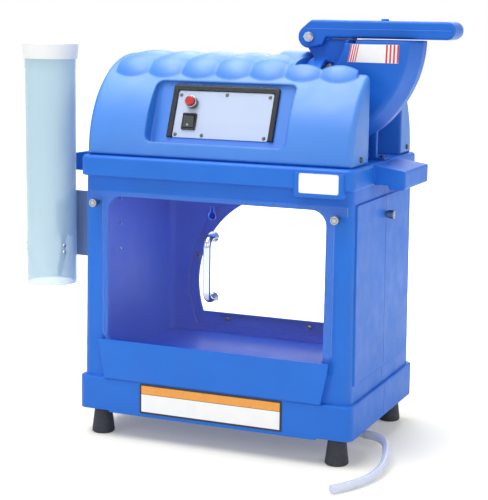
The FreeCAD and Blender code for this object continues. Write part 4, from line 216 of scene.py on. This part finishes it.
PLASTIC = {"Specular_IOR_Level": 0.45}
SAWN_EDGE = linear(150, 176, 236)
LOOKS = {
    # moulded blue plastic
    "cabinet": Surface("moulded_blue", linear(10, 104, 209), (0.46, 0.58), mottle=(9, 0.05),
                       grain=(420, 0.10), edge=0.0026, wear_and_highlight=0.3, **PLASTIC),
    # the housing is the cabinet's blue plastic painted paler: painted light from above on the top of the
    # machine
    "housing": Surface("moulded_blue_housing_painted_light", linear(28, 116, 209), (0.42, 0.54), mottle=(7, 0.05),
                       grain=(420, 0.10), edge=0.006, wear_and_highlight=0.12, Specular_IOR_Level=0.95),
    "feed": Surface("moulded_blue_feed", linear(22, 101, 204), (0.42, 0.54), mottle=(12, 0.05),
                    grain=(500, 0.08), edge=0.005, wear_and_highlight=0.12, Specular_IOR_Level=0.32),
    # the parting line is drawn a darker blue: painted shade along its ridge
    "seam": Surface("mould_seam_painted_shade", linear(6, 72, 190), (0.36, 0.5), mottle=(60, 0.1),
                    grain=(700, 0.15), **PLASTIC),
    # the lever's parting line is drawn a paler blue: a painted highlight along its ridge
    "bead": Surface("mould_bead_painted_highlight", linear(62, 128, 222), (0.3, 0.42), mottle=(60, 0.06),
                    grain=(700, 0.1), **PLASTIC),
    # clear and frosted plastic
    "clear": Surface("clear_guard", linear(232, 232, 244), (0.04, 0.10), mottle=(25, 0.02),
                     grain=(30, 0.03)).clear_sheet("Y", 0.022, 0.7, SAWN_EDGE),
    "pane": Surface("clear_pane", linear(225, 232, 246), (0.05, 0.12), mottle=(25, 0.02),
                    grain=(30, 0.03)).clear_sheet("Y", 0.03, 0.6, SAWN_EDGE),
    # the tube's faint emission is a painted glow that brightens the frosted wall; it is no lamp
    "tube": Surface("frosted_tube", linear(196, 224, 240), (0.36, 0.48), mottle=(14, 0.03),
                    grain=(90, 0.05), stretch=(1, 1, 0.2), Emission_Color=linear(200, 228, 242),
                    Emission_Strength=0.03).round_wall(0.54, 0.68),
    "hose": Surface("clear_vinyl", linear(214, 222, 244), (0.12, 0.24), mottle=(40, 0.04),
                    grain=(60, 0.04)).round_wall(0.62, 0.9),
    # rubber and the other plastics
    "finger": Surface("finger_spring", linear(96, 132, 168), (0.34, 0.48), mottle=(60, 0.05),
                      grain=(500, 0.06)),
    "cap": Surface("white_cap", linear(234, 236, 240), (0.40, 0.52), mottle=(30, 0.02),
                   grain=(600, 0.06), edge=0.001, wear_and_highlight=0.04),
    "rubber": Surface("black_rubber", linear(40, 44, 54), (0.55, 0.72), mottle=(60, 0.18),
                      grain=(900, 0.25), edge=0.001, wear_and_highlight=0.5),
    "trim": Surface("trim_rubber", linear(17, 18, 24), (0.24, 0.36), mottle=(50, 0.15),
                    grain=(700, 0.12), edge=0.003, wear_and_highlight=0.5),
    "black": Surface("black_plastic", linear(14, 15, 20), (0.2, 0.32), mottle=(80, 0.15),
                     grain=(900, 0.08), edge=0.0008, wear_and_highlight=0.5),
    "red": Surface("red_plastic", linear(180, 14, 20), (0.18, 0.3), mottle=(120, 0.1),
                   grain=(300, 0.05), edge=0.0008, wear_and_highlight=0.2, Coat_Weight=0.4),
    "lamp": Surface("lamp_lens", linear(104, 168, 158), (0.15, 0.25), mottle=(300, 0.1),
                    grain=(900, 0.1)),
    "nylon": Surface("natural_nylon", linear(222, 218, 205), (0.36, 0.5), mottle=(50, 0.04),
                     grain=(700, 0.06)),
    "drain": Surface("white_fitting", linear(222, 225, 228), (0.34, 0.48), mottle=(50, 0.04),
                     grain=(500, 0.06)),
    # metal
    "steel": Surface("zinc_steel", linear(188, 190, 194), (0.22, 0.42), 1.0, mottle=(250, 0.1),
                     grain=(900, 0.1), edge=0.0005, wear_and_highlight=0.15),
    "dark_steel": Surface("dark_fastener", linear(64, 61, 59), (0.30, 0.48), 0.6, mottle=(250, 0.2),
                          grain=(900, 0.15), edge=0.0005, wear_and_highlight=0.3),
    "screw": Surface("grey_fastener", linear(120, 118, 116), (0.28, 0.48), 0.9, mottle=(250, 0.2),
                     grain=(900, 0.15), edge=0.0005, wear_and_highlight=0.3),
    # dark crosses in screw heads and the knobs' grooves: painted shade for their hollows
    "recess": Surface("screw_recess_painted_shade", linear(28, 28, 32), (0.4, 0.6), mottle=(300, 0.2),
                      grain=(900, 0.1)),
    "knob": Surface("knurled_metal", linear(158, 158, 162), (0.22, 0.38), 1.0, mottle=(200, 0.1),
                    grain=(700, 0.1), edge=0.0005, wear_and_highlight=0.3),
    # the steel's blue-grey is partly its own and partly a painted reflection of the blue machine
    "chrome": Surface("polished_steel_blue_reflection", linear(176, 184, 202), (0.06, 0.16), 1.0, mottle=(60, 0.03),
                      grain=(120, 0.03)),
    "collar": Surface("collar_metal", linear(112, 110, 108), (0.24, 0.4), 1.0, mottle=(200, 0.12),
                      grain=(900, 0.12), edge=0.0006, wear_and_highlight=0.5),
    "sheet": Surface("dull_sheet", linear(112, 130, 160), (0.34, 0.52), 0.8, mottle=(40, 0.08),
                     grain=(60, 0.06), edge=0.0006, wear_and_highlight=0.3, stretch=(6, 6, 0.4)),
    "bracket": Surface("bracket_sheet", linear(146, 166, 198), (0.34, 0.50), 0.6, mottle=(40, 0.08),
                       grain=(60, 0.06), edge=0.0006, wear_and_highlight=0.3, stretch=(6, 6, 0.4)),
    "panel": Surface("panel_face", linear(176, 190, 216), (0.30, 0.42), 0.2, mottle=(60, 0.02),
                     grain=(400, 0.04), edge=0.0006, wear_and_highlight=0.1, stretch=(0.05, 1, 1)),
    "paint": Surface("motor_enamel", linear(52, 54, 58), (0.32, 0.46), mottle=(40, 0.12),
                     grain=(500, 0.15), edge=0.001, wear_and_highlight=0.4),
    "cast": Surface("cast_metal", linear(176, 178, 182), (0.36, 0.5), 1.0, mottle=(120, 0.1),
                    grain=(700, 0.15), edge=0.001, wear_and_highlight=0.15),
    "blade": Surface("ground_blade", linear(205, 208, 212), (0.16, 0.36), 1.0, mottle=(200, 0.05),
                     grain=(400, 0.08), stretch=(1, 1, 12)),
    # bare signs
    "sign_white": Surface("sign_white", linear(244, 245, 248), (0.3, 0.4), mottle=(50, 0.02),
                          grain=(300, 0.04)),
    "sign_orange": Surface("sign_orange", linear(236, 158, 62), (0.25, 0.36), mottle=(50, 0.03),
                           grain=(300, 0.04)),
    "sign_black": Surface("sign_border", linear(24, 24, 30), (0.3, 0.42), mottle=(50, 0.1),
                          grain=(300, 0.06)),
    "sign_red": Surface("sign_red", linear(212, 48, 54), (0.25, 0.36), mottle=(50, 0.03),
                        grain=(300, 0.04)),
}

NODE_LOOKS = {
    "cabinet": ["cabinet_shell"],
    "housing": ["dome_housing"],
    "feed": ["hopper", "lever_arm", "lever_cap"],
    "clear": ["guard_panel"],
    "pane": ["rear_window"],
    "tube": ["cup_tube"],
    "cap": ["cup_cap"],
    "rubber": ["foot_front_left", "foot_front_right", "foot_rear_left", "foot_rear_right"],
    "trim": ["control_trim"],
    "black": ["button_switch", "rocker_bezel", "power_rocker", "rocker_switch"],
    "red": ["motor_button"],
    "lamp": ["rocker_lamp"],
    "steel": ["feet_screws", "guard_handle_screws", "motor_bolts", "motor_shaft", "blade_screws",
              "cutter_nut", "pusher_bolts", "cup_rivets", "bracket_screws"],
    "dark_steel": ["dome_screws", "hopper_screws"],
    "screw": ["rear_window_screws", "control_screws"],
    "chrome": ["guard_handle", "pivot_bolt", "pivot_nut"],
    "knob": ["guard_knob_left", "guard_knob_right", "side_knob"],
    "collar": ["button_collar"],
    "sheet": ["ice_chute", "pusher_plate"],
    "bracket": ["cup_bracket"],
    "panel": ["control_plate"],
    "sign_black": ["front_plate"],
    "paint": ["motor_body", "motor_cradle"],
    "cast": ["motor_end_bells", "cutter_disc"],
    "blade": ["cutter_blades"],
    "nylon": ["lever_bushes"],
    "finger": ["cup_fingers"],
    "drain": ["drain_fitting"],
    "hose": ["drain_hose"],
}
for look, names in NODE_LOOKS.items():
    for node in names:
        mesh = NODES[node].data
        mesh.materials.clear()
        mesh.materials.append(LOOKS[look].material)

# ---------------------------------------------------------------- drain hose
HOSE_RADIUS = 0.007
HOSE_ROUTE = [
    (0.2375, -0.037, 0.026), (0.2495, -0.037, 0.026), (0.2638, -0.0416, 0.0248),
    (0.2756, -0.0508, 0.0234), (0.2843, -0.0642, 0.0216), (0.2911, -0.083, 0.019),
    (0.2973, -0.1062, 0.0158), (0.3018, -0.1318, 0.0122), (0.3027, -0.1588, 0.0092),
    (0.2994, -0.1856, 0.0074), (0.2927, -0.2107, 0.007), (0.2825, -0.2346, 0.007),
    (0.2691, -0.2569, 0.007), (0.262, -0.266, 0.007),
]


def add_hose():
    """The clear hose, along the route of the CAD hose that it replaces."""
    line = bpy.data.curves.new("drain_hose_line", "CURVE")
    line.dimensions = "3D"
    line.bevel_depth = HOSE_RADIUS
    line.bevel_resolution = 6
    line.use_fill_caps = True
    spline = line.splines.new("NURBS")
    spline.points.add(len(HOSE_ROUTE) - 1)
    for point, place in zip(spline.points, HOSE_ROUTE):
        point.co = (*place, 1)
    spline.order_u = 3
    spline.use_endpoint_u = True
    spline.resolution_u = 12
    line.materials.append(LOOKS["hose"].material)
    hose = placed("vinyl_hose", line)
    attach(hose, "cabinet")
    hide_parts("drain_hose")


add_hose()

# ---------------------------------------------------------------- building pieces
# where rays start, clear of the machine
BESIDE, IN_FRONT, NEAR_LEVER = 0.4, 0.3, 0.2


def piece(name, build, look, body, thickness=0.0):
    """A new mesh object that rides on a body and takes its finish from a slot."""
    bm = bmesh.new()
    build(bm)
    bmesh.ops.recalc_face_normals(bm, faces=bm.faces)
    mesh = bpy.data.meshes.new(name)
    bm.to_mesh(mesh)
    bm.free()
    mesh.materials.append(LOOKS[look].material)
    mesh.shade_smooth()
    obj = placed(name, mesh)
    if thickness:
        solid = obj.modifiers.new("thickness", "SOLIDIFY")
        solid.thickness = thickness
        solid.offset = 0
        rim = obj.modifiers.new("rim", "BEVEL")
        rim.width = thickness * 0.3
        rim.limit_method = "ANGLE"
    shading = obj.modifiers.new("shading", "WEIGHTED_NORMAL")
    shading.keep_sharp = True
    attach(obj, body)


TREES = {}


def cast(node, start, direction):
    """Where a ray first meets a CAD node."""
    if node not in TREES:
        mesh = NODES[node].data
        faces = [p.vertices for p in mesh.polygons]
        TREES[node] = BVHTree.FromPolygons([v.co for v in mesh.vertices], faces)
    hit = TREES[node].ray_cast(Vector(start), Vector(direction))[0]
    if hit is None:
        raise RuntimeError("nothing of %s under %s" % (node, tuple(start)))
    return hit


def draped(bm, node, corners, direction, proud, steps):
    """A sheet over four corners, laid on the surface of a CAD node."""
    direction = Vector(direction)
    a, b, c, d = (Vector(corner) for corner in corners)
    rows = []
    for i in range(steps[1] + 1):
        low, high = a.lerp(d, i / steps[1]), b.lerp(c, i / steps[1])
        spots = [low.lerp(high, j / steps[0]) for j in range(steps[0] + 1)]
        rows.append([bm.verts.new(cast(node, spot, direction) - direction * proud) for spot in spots])
    for low_row, high_row in zip(rows, rows[1:]):
        for j in range(steps[0]):
            bm.faces.new((low_row[j], low_row[j + 1], high_row[j + 1], high_row[j]))


def axes(outward):
    """A direction at length one, and two more square to it and to each other."""
    outward = outward.normalized()
    across = outward.orthogonal().normalized()
    return outward, across, outward.cross(across)


def face_points(points, outward, depth):
    """The points that lie within a depth of the furthest one outward."""
    top = max(p.dot(outward) for p in points)
    return [p for p in points if p.dot(outward) > top - depth]


# ---------------------------------------------------------------- signs and labels, all bare
# label sizes are in mm
LABEL_FILM, PLATE_FILM = 0.00025, 0.0003
ON_FACE, ON_LABEL = 0.0002, 0.0004
ARC_STEPS = 6


def hopper_label(name, outline, look, proud):
    """A flat label on the hopper's front, its corners as (x, z)."""
    def build(bm):
        corners = [(x / 1000, -IN_FRONT, z / 1000) for x, z in outline]
        draped(bm, "hopper", corners, (0, 1, 0), proud, (6, 3))
    piece(name, build, look, "cabinet", thickness=LABEL_FILM)


def hopper_stripes(side, first, pitch, width, lean, low, high):
    """Four leaning stripes on the hopper's label."""
    for n in range(4):
        x = first + pitch * n
        outline = [(x, low), (x + width, low), (x + width + lean, high), (x + lean, high)]
        hopper_label("hopper_stripe_%s_%d" % (side, n), outline, "sign_red", ON_LABEL)


def rounded_label(name, node, low, high, corner, look):
    """A label with round corners on a face that looks to the front, from (x, z) to (x, z)."""
    def build(bm):
        (x0, z0), (x1, z1) = low, high
        spots = []
        for cx, cz, start in ((x1 - corner, z1 - corner, 0), (x0 + corner, z1 - corner, 90),
                              (x0 + corner, z0 + corner, 180), (x1 - corner, z0 + corner, 270)):
            for step in range(ARC_STEPS + 1):
                angle = math.radians(start + 90 / ARC_STEPS * step)
                spots.append((cx + corner * math.cos(angle), cz + corner * math.sin(angle)))
        middle = ((x0 + x1) / 2000, -IN_FRONT, (z0 + z1) / 2000)
        front = cast(node, middle, (0, 1, 0)).y - ON_FACE
        bm.faces.new([bm.verts.new((x / 1000, front, z / 1000)) for x, z in spots])
    piece(name, build, look, "cabinet", thickness=PLATE_FILM)


SIGN_LEFT, SIGN_RIGHT, SIGN_LOW, SIGN_HIGH = -114.5, 137.5, 49, 99.5
SIGN_BORDER, SIGN_CORNER = 3.2, 0.8
BAND_LOW, BAND_GAP = 82.2, 0.4
rounded_label("sign_field", "front_plate", (SIGN_LEFT + SIGN_BORDER, SIGN_LOW + SIGN_BORDER),
              (SIGN_RIGHT - SIGN_BORDER, BAND_LOW - BAND_GAP), SIGN_CORNER, "sign_white")
rounded_label("sign_band", "front_plate", (SIGN_LEFT + SIGN_BORDER, BAND_LOW + BAND_GAP),
              (SIGN_RIGHT - SIGN_BORDER, SIGN_HIGH - SIGN_BORDER), SIGN_CORNER, "sign_orange")
rounded_label("rim_label", "cabinet_shell", (160.8, 434.6), (225.4, 465.2), 3, "sign_white")

HOPPER_LABEL = [(191.6, 631), (275.6, 630.7), (276.2, 659.7), (197.4, 659.3)]
hopper_label("hopper_label", HOPPER_LABEL, "sign_white", ON_FACE)
hopper_stripes("right", first=254.2, pitch=6.1, width=3, lean=0.6, low=631, high=659.4)
hopper_stripes("left", first=191.9, pitch=3.7, width=1.8, lean=5.7, low=631.2, high=659)

# ---------------------------------------------------------------- mould lines
SEAM_FRONT, SEAM_REAR = 0.0162, 0.0178
SEAM_PROUD, SEAM_THICKNESS = 0.0001, 0.0003
SEAMS = {"seam_right_low": (1, 0.048, 0.376), "seam_right_high": (1, 0.394, 0.434),
         "seam_left_low": (-1, 0.048, 0.284)}


def side_seam(name, side, low, high):
    """The mould's parting line down one side of the cabinet, drawn darker as painted shade along its ridge.
    """
    def build(bm):
        x = side * BESIDE
        corners = [(x, SEAM_FRONT, low), (x, SEAM_REAR, low), (x, SEAM_REAR, high), (x, SEAM_FRONT, high)]
        draped(bm, "cabinet_shell", corners, (-side, 0, 0), SEAM_PROUD, (2, 60))
    piece(name, build, "seam", "cabinet", thickness=SEAM_THICKNESS)


for name, (side, low, high) in SEAMS.items():
    side_seam(name, side, low, high)

BEAD_LEFT, BEAD_RIGHT, BEAD_LOW, BEAD_HIGH = 0.112, 0.352, 0.6815, 0.6825
BEAD_PROUD, BEAD_THICKNESS = 0.00015, 0.0004


def lever_bead(name, side):
    """The parting line along one side of the lever, drawn paler as a painted highlight: side is -1 for its
    front, 1 for its rear.
    """
    def build(bm):
        y = side * NEAR_LEVER
        corners = [(BEAD_LEFT, y, BEAD_LOW), (BEAD_RIGHT, y, BEAD_LOW), (BEAD_RIGHT, y, BEAD_HIGH),
                   (BEAD_LEFT, y, BEAD_HIGH)]
        draped(bm, "lever_arm", corners, (0, -side, 0), BEAD_PROUD, (60, 2))
    piece(name, build, "bead", "lever", thickness=BEAD_THICKNESS)


lever_bead("lever_bead_front", -1)
lever_bead("lever_bead_rear", 1)


# ---------------------------------------------------------------- screw recesses
def islands(node):
    """The separate solids of a node, as lists of points."""
    mesh = NODES[node].data
    parent = list(range(len(mesh.vertices)))

    def root(i):
        while parent[i] != i:
            parent[i] = parent[parent[i]]
            i = parent[i]
        return i
    by_place = {}
    for vertex in mesh.vertices:
        key = tuple(round(c, 6) for c in vertex.co)
        parent[root(vertex.index)] = root(by_place.setdefault(key, vertex.index))
    for edge in mesh.edges:
        parent[root(edge.vertices[0])] = root(edge.vertices[1])
    groups = {}
    for vertex in mesh.vertices:
        groups.setdefault(root(vertex.index), []).append(vertex.co.copy())
    return list(groups.values())


SQUARE = ((-1, -1), (1, -1), (1, 1), (-1, 1))
CROSS_DEPTH, CROSS_PROUD = 0.0004, 0.00006
CROSS_TAPER, CROSS_SLIMNESS = 0.8, 0.26
HEAD_DEPTH = 0.00005


def cross_recess(bm, at, outward, reach):
    """The cross in a screw's head, two bars that narrow toward the face, dark as painted shade for the
    hollow of the recess.
    """
    outward, across, along = axes(outward)

    def outline(a, b, share, level):
        return [bm.verts.new(at + across * (sx * a * share) + along * (sy * b * share) + outward * level)
                for sx, sy in SQUARE]
    width = reach * CROSS_SLIMNESS
    for a, b in ((reach, width), (width, reach)):
        lows = outline(a, b, 1, -CROSS_DEPTH)
        highs = outline(a, b, CROSS_TAPER, CROSS_PROUD)
        bm.faces.new(highs)
        for k in range(4):
            bm.faces.new((lows[k], lows[(k + 1) % 4], highs[(k + 1) % 4], highs[k]))


def recessed(node, outward_of, reach):
    """One piece with the crosses of all the screws in a node."""
    def build(bm):
        for points in islands(node):
            outward = outward_of(sum(points, Vector()) / len(points)).normalized()
            head = face_points(points, outward, HEAD_DEPTH)
            cross_recess(bm, sum(head, Vector()) / len(head), outward, reach)
    piece(node + "_recess", build, "recess", "cabinet")


TILT = math.radians(21.5)
PLATE_OUT = Vector((0, -math.cos(TILT), math.sin(TILT)))
LEFT, RIGHT, FRONT = Vector((-1, 0, 0)), Vector((1, 0, 0)), Vector((0, -1, 0))
recessed("control_screws", lambda at: PLATE_OUT, 0.0022)
recessed("dome_screws", lambda at: Vector((math.copysign(1, at.x), 0, 0)), 0.0026)
recessed("rear_window_screws", lambda at: FRONT, 0.0022)
recessed("bracket_screws", lambda at: LEFT, 0.0024)

# ---------------------------------------------------------------- button ring and knobs
RING_STEPS, WIRE_STEPS = 48, 10
FACE_DEPTH = 0.0001


def ring(bm, middle, outward, radius, thick):
    """A round wire ring about an axis."""
    outward, across, along = axes(outward)
    loops = []
    for i in range(RING_STEPS):
        angle = 2 * math.pi * i / RING_STEPS
        out = across * math.cos(angle) + along * math.sin(angle)
        loop = []
        for k in range(WIRE_STEPS):
            t = 2 * math.pi * k / WIRE_STEPS
            place = middle + out * (radius + thick * math.cos(t)) + outward * (thick * math.sin(t))
            loop.append(bm.verts.new(place))
        loops.append(loop)
    for i in range(RING_STEPS):
        here, there = loops[i], loops[(i + 1) % RING_STEPS]
        for k in range(WIRE_STEPS):
            bm.faces.new((here[k], there[k], there[(k + 1) % WIRE_STEPS], here[(k + 1) % WIRE_STEPS]))


def collar_middle():
    """The middle of the button collar's face."""
    points = [v.co for v in NODES["button_collar"].data.vertices]
    face = face_points(points, PLATE_OUT, FACE_DEPTH)
    return sum(face, Vector()) / len(face)


BUTTON_RING_RADIUS, BUTTON_RING_WIRE = 0.0090, 0.0007
piece("button_ring", lambda bm: ring(bm, collar_middle(), PLATE_OUT, BUTTON_RING_RADIUS, BUTTON_RING_WIRE),
      "chrome", "cabinet")

RIDGES = 36
RIDGE, VALLEY, SHOULDER, LAP = 0.0004, 0.00003, 0.0001, 0.0006
SLEEVE_END, SLEEVE_SLOPE = 0.0004, 0.0005


def knurled_sleeve(bm, middle, outward, radius, length):
    """Fine ridges round a knob's head; middle is on its face, outward points out of the face."""
    outward, across, along = axes(outward)
    near, far = SLEEVE_END, length - SLEEVE_END
    rims = ((near, -LAP, -LAP), (near, SHOULDER, SHOULDER), (near + SLEEVE_SLOPE, VALLEY, RIDGE),
            (far - SLEEVE_SLOPE, VALLEY, RIDGE), (far, SHOULDER, SHOULDER), (far, -LAP, -LAP))
    loops = []
    for depth, low, high in rims:
        loop = []
        for i in range(2 * RIDGES):
            angle = math.pi * i / RIDGES
            out = across * math.cos(angle) + along * math.sin(angle)
            loop.append(bm.verts.new(middle - outward * depth + out * (radius + (high if i % 2 else low))))
        loops.append(loop)
    for here, there in zip(loops, loops[1:] + loops[:1]):
        for i in range(2 * RIDGES):
            j = (i + 1) % (2 * RIDGES)
            bm.faces.new((here[i], here[j], there[j], there[i]))


KNOB_RADIUS, GROOVE_RADIUS, GROOVE_WIRE = 0.0064, 0.0040, 0.0004
KNOBS = {"guard_knob_left": (FRONT, 0.009), "guard_knob_right": (FRONT, 0.009), "side_knob": (RIGHT, 0.011)}
for knob, (outward, head_length) in KNOBS.items():
    face = face_points([v.co for v in NODES[knob].data.vertices], outward, FACE_DEPTH)
    highest = Vector(max(p[i] for p in face) for i in range(3))
    lowest = Vector(min(p[i] for p in face) for i in range(3))
    middle = (highest + lowest) / 2
    piece(knob + "_knurl", lambda bm: knurled_sleeve(bm, middle, outward, KNOB_RADIUS, head_length),
          "knob", knob)
    # the groove is a dark ring: painted shade for the hollow round the knob's face
    piece(knob + "_groove", lambda bm: ring(bm, middle, outward, GROOVE_RADIUS, GROOVE_WIRE),
          "recess", knob)

# ---------------------------------------------------------------- floor and world
scene = bpy.context.scene
scene.view_settings.view_transform = "Standard"
FLOOR_REACH, FLOOR_LEVEL = 12, -0.0005
PAPER = (0.90, 0.882, 0.80, 1)
FADE_SPAN, FADE_GLOW = (0.45, 1.2), (0.19, 1.0)
WORLD_LIGHT, WORLD_SEEN = 0.32, 1.0


def seen_directly(nodes, links):
    """1 for the rays that show a background, 0 for those that light the object."""
    path = nodes.new("ShaderNodeLightPath")
    seen = path.outputs["Is Camera Ray"]
    for kind in ("Is Transmission Ray", "Is Glossy Ray"):
        either = nodes.new("ShaderNodeMath")
        either.operation = "MAXIMUM"
        links.new(seen, either.inputs[0])
        links.new(path.outputs[kind], either.inputs[1])
        seen = either.outputs[0]
    return seen


def mapped(nodes, links, source, from_span, to_span, smooth=False):
    """The source's value, taken from one span to another."""
    node = nodes.new("ShaderNodeMapRange")
    if smooth:
        node.interpolation_type = "SMOOTHSTEP"
    for key, value in zip(("From Min", "From Max", "To Min", "To Max"), (*from_span, *to_span)):
        node.inputs[key].default_value = value
    links.new(source, node.inputs["Value"])
    return node.outputs["Result"]


def floor_paper():
    """White paper that takes the shadow near the feet and fades out to plain white."""
    paper = bpy.data.materials.new("floor_paper")
    paper.use_nodes = True
    nodes, links = paper.node_tree.nodes, paper.node_tree.links
    nodes.clear()
    output = nodes.new("ShaderNodeOutputMaterial")
    matt = nodes.new("ShaderNodeBsdfDiffuse")
    matt.inputs["Color"].default_value = PAPER
    glow = nodes.new("ShaderNodeEmission")
    coords = nodes.new("ShaderNodeTexCoord")
    distance = nodes.new("ShaderNodeVectorMath")
    distance.operation = "LENGTH"
    links.new(coords.outputs["Object"], distance.inputs[0])
    lift = nodes.new("ShaderNodeMath")
    lift.operation = "MULTIPLY"
    links.new(mapped(nodes, links, distance.outputs["Value"], FADE_SPAN, FADE_GLOW, True), lift.inputs[0])
    links.new(seen_directly(nodes, links), lift.inputs[1])
    links.new(lift.outputs[0], glow.inputs["Strength"])
    both = nodes.new("ShaderNodeAddShader")
    links.new(matt.outputs[0], both.inputs[0])
    links.new(glow.outputs[0], both.inputs[1])
    links.new(both.outputs[0], output.inputs["Surface"])
    return paper


def add_floor():
    mesh = bpy.data.meshes.new("floor")
    corners = [(sx * FLOOR_REACH, sy * FLOOR_REACH, FLOOR_LEVEL) for sx, sy in SQUARE]
    mesh.from_pydata(corners, [], [(0, 1, 2, 3)])
    mesh.materials.append(floor_paper())
    floor = placed("floor", mesh)
    floor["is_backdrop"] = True


def add_world():
    """A white background that lights the object less than it shows."""
    world = bpy.data.worlds.new("studio")
    world.use_nodes = True
    nodes, links = world.node_tree.nodes, world.node_tree.links
    background = nodes["Background"]
    background.inputs["Color"].default_value = (1, 1, 1, 1)
    strength = mapped(nodes, links, seen_directly(nodes, links), (0, 1), (WORLD_LIGHT, WORLD_SEEN))
    links.new(strength, background.inputs["Strength"])
    scene.world = world


add_floor()
add_world()

# ---------------------------------------------------------------- lights
AIM = Vector((0, 0, 0.35))
WHITE, BIN_BLUE = (1, 1, 1), (0.06, 0.16, 1.0)


def softbox(name, at, width, height, power, color=WHITE):
    """A rectangular light that looks at the middle of the machine."""
    light = bpy.data.lights.new(name, "AREA")
    light.shape = "RECTANGLE"
    light.size, light.size_y = width, height
    light.energy = power
    light.color = color
    obj = placed(name, light)
    toward = (AIM - Vector(at)).to_track_quat("-Z", "Y")
    obj.matrix_world = Matrix.Translation(at) @ toward.to_matrix().to_4x4()
    obj.visible_camera = False


softbox("overhead_softbox", (-0.5, 0.3, 2.9), 2.1, 2.1, 66)
softbox("front_top_softbox", (-0.4, -1.25, 2.75), 1.7, 1.3, 36)
softbox("front_left_softbox", (-1.5, -2.6, 1.3), 1.4, 1.2, 10)
softbox("front_right_softbox", (1.9, -2.3, 1.4), 1.2, 1.2, 13)
softbox("right_softbox", (3.0, 0.3, 1.3), 1.4, 1.6, 19)
softbox("rear_softbox", (-0.6, 2.8, 1.9), 1.6, 1.4, 22)
# inside the bin: a weak blue fill, for daylight taken to come through the thin walls
softbox("bin_glow", (0.0115, 0.013, 0.42), 0.2, 0.2, 0.3, BIN_BLUE)

low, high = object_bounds()
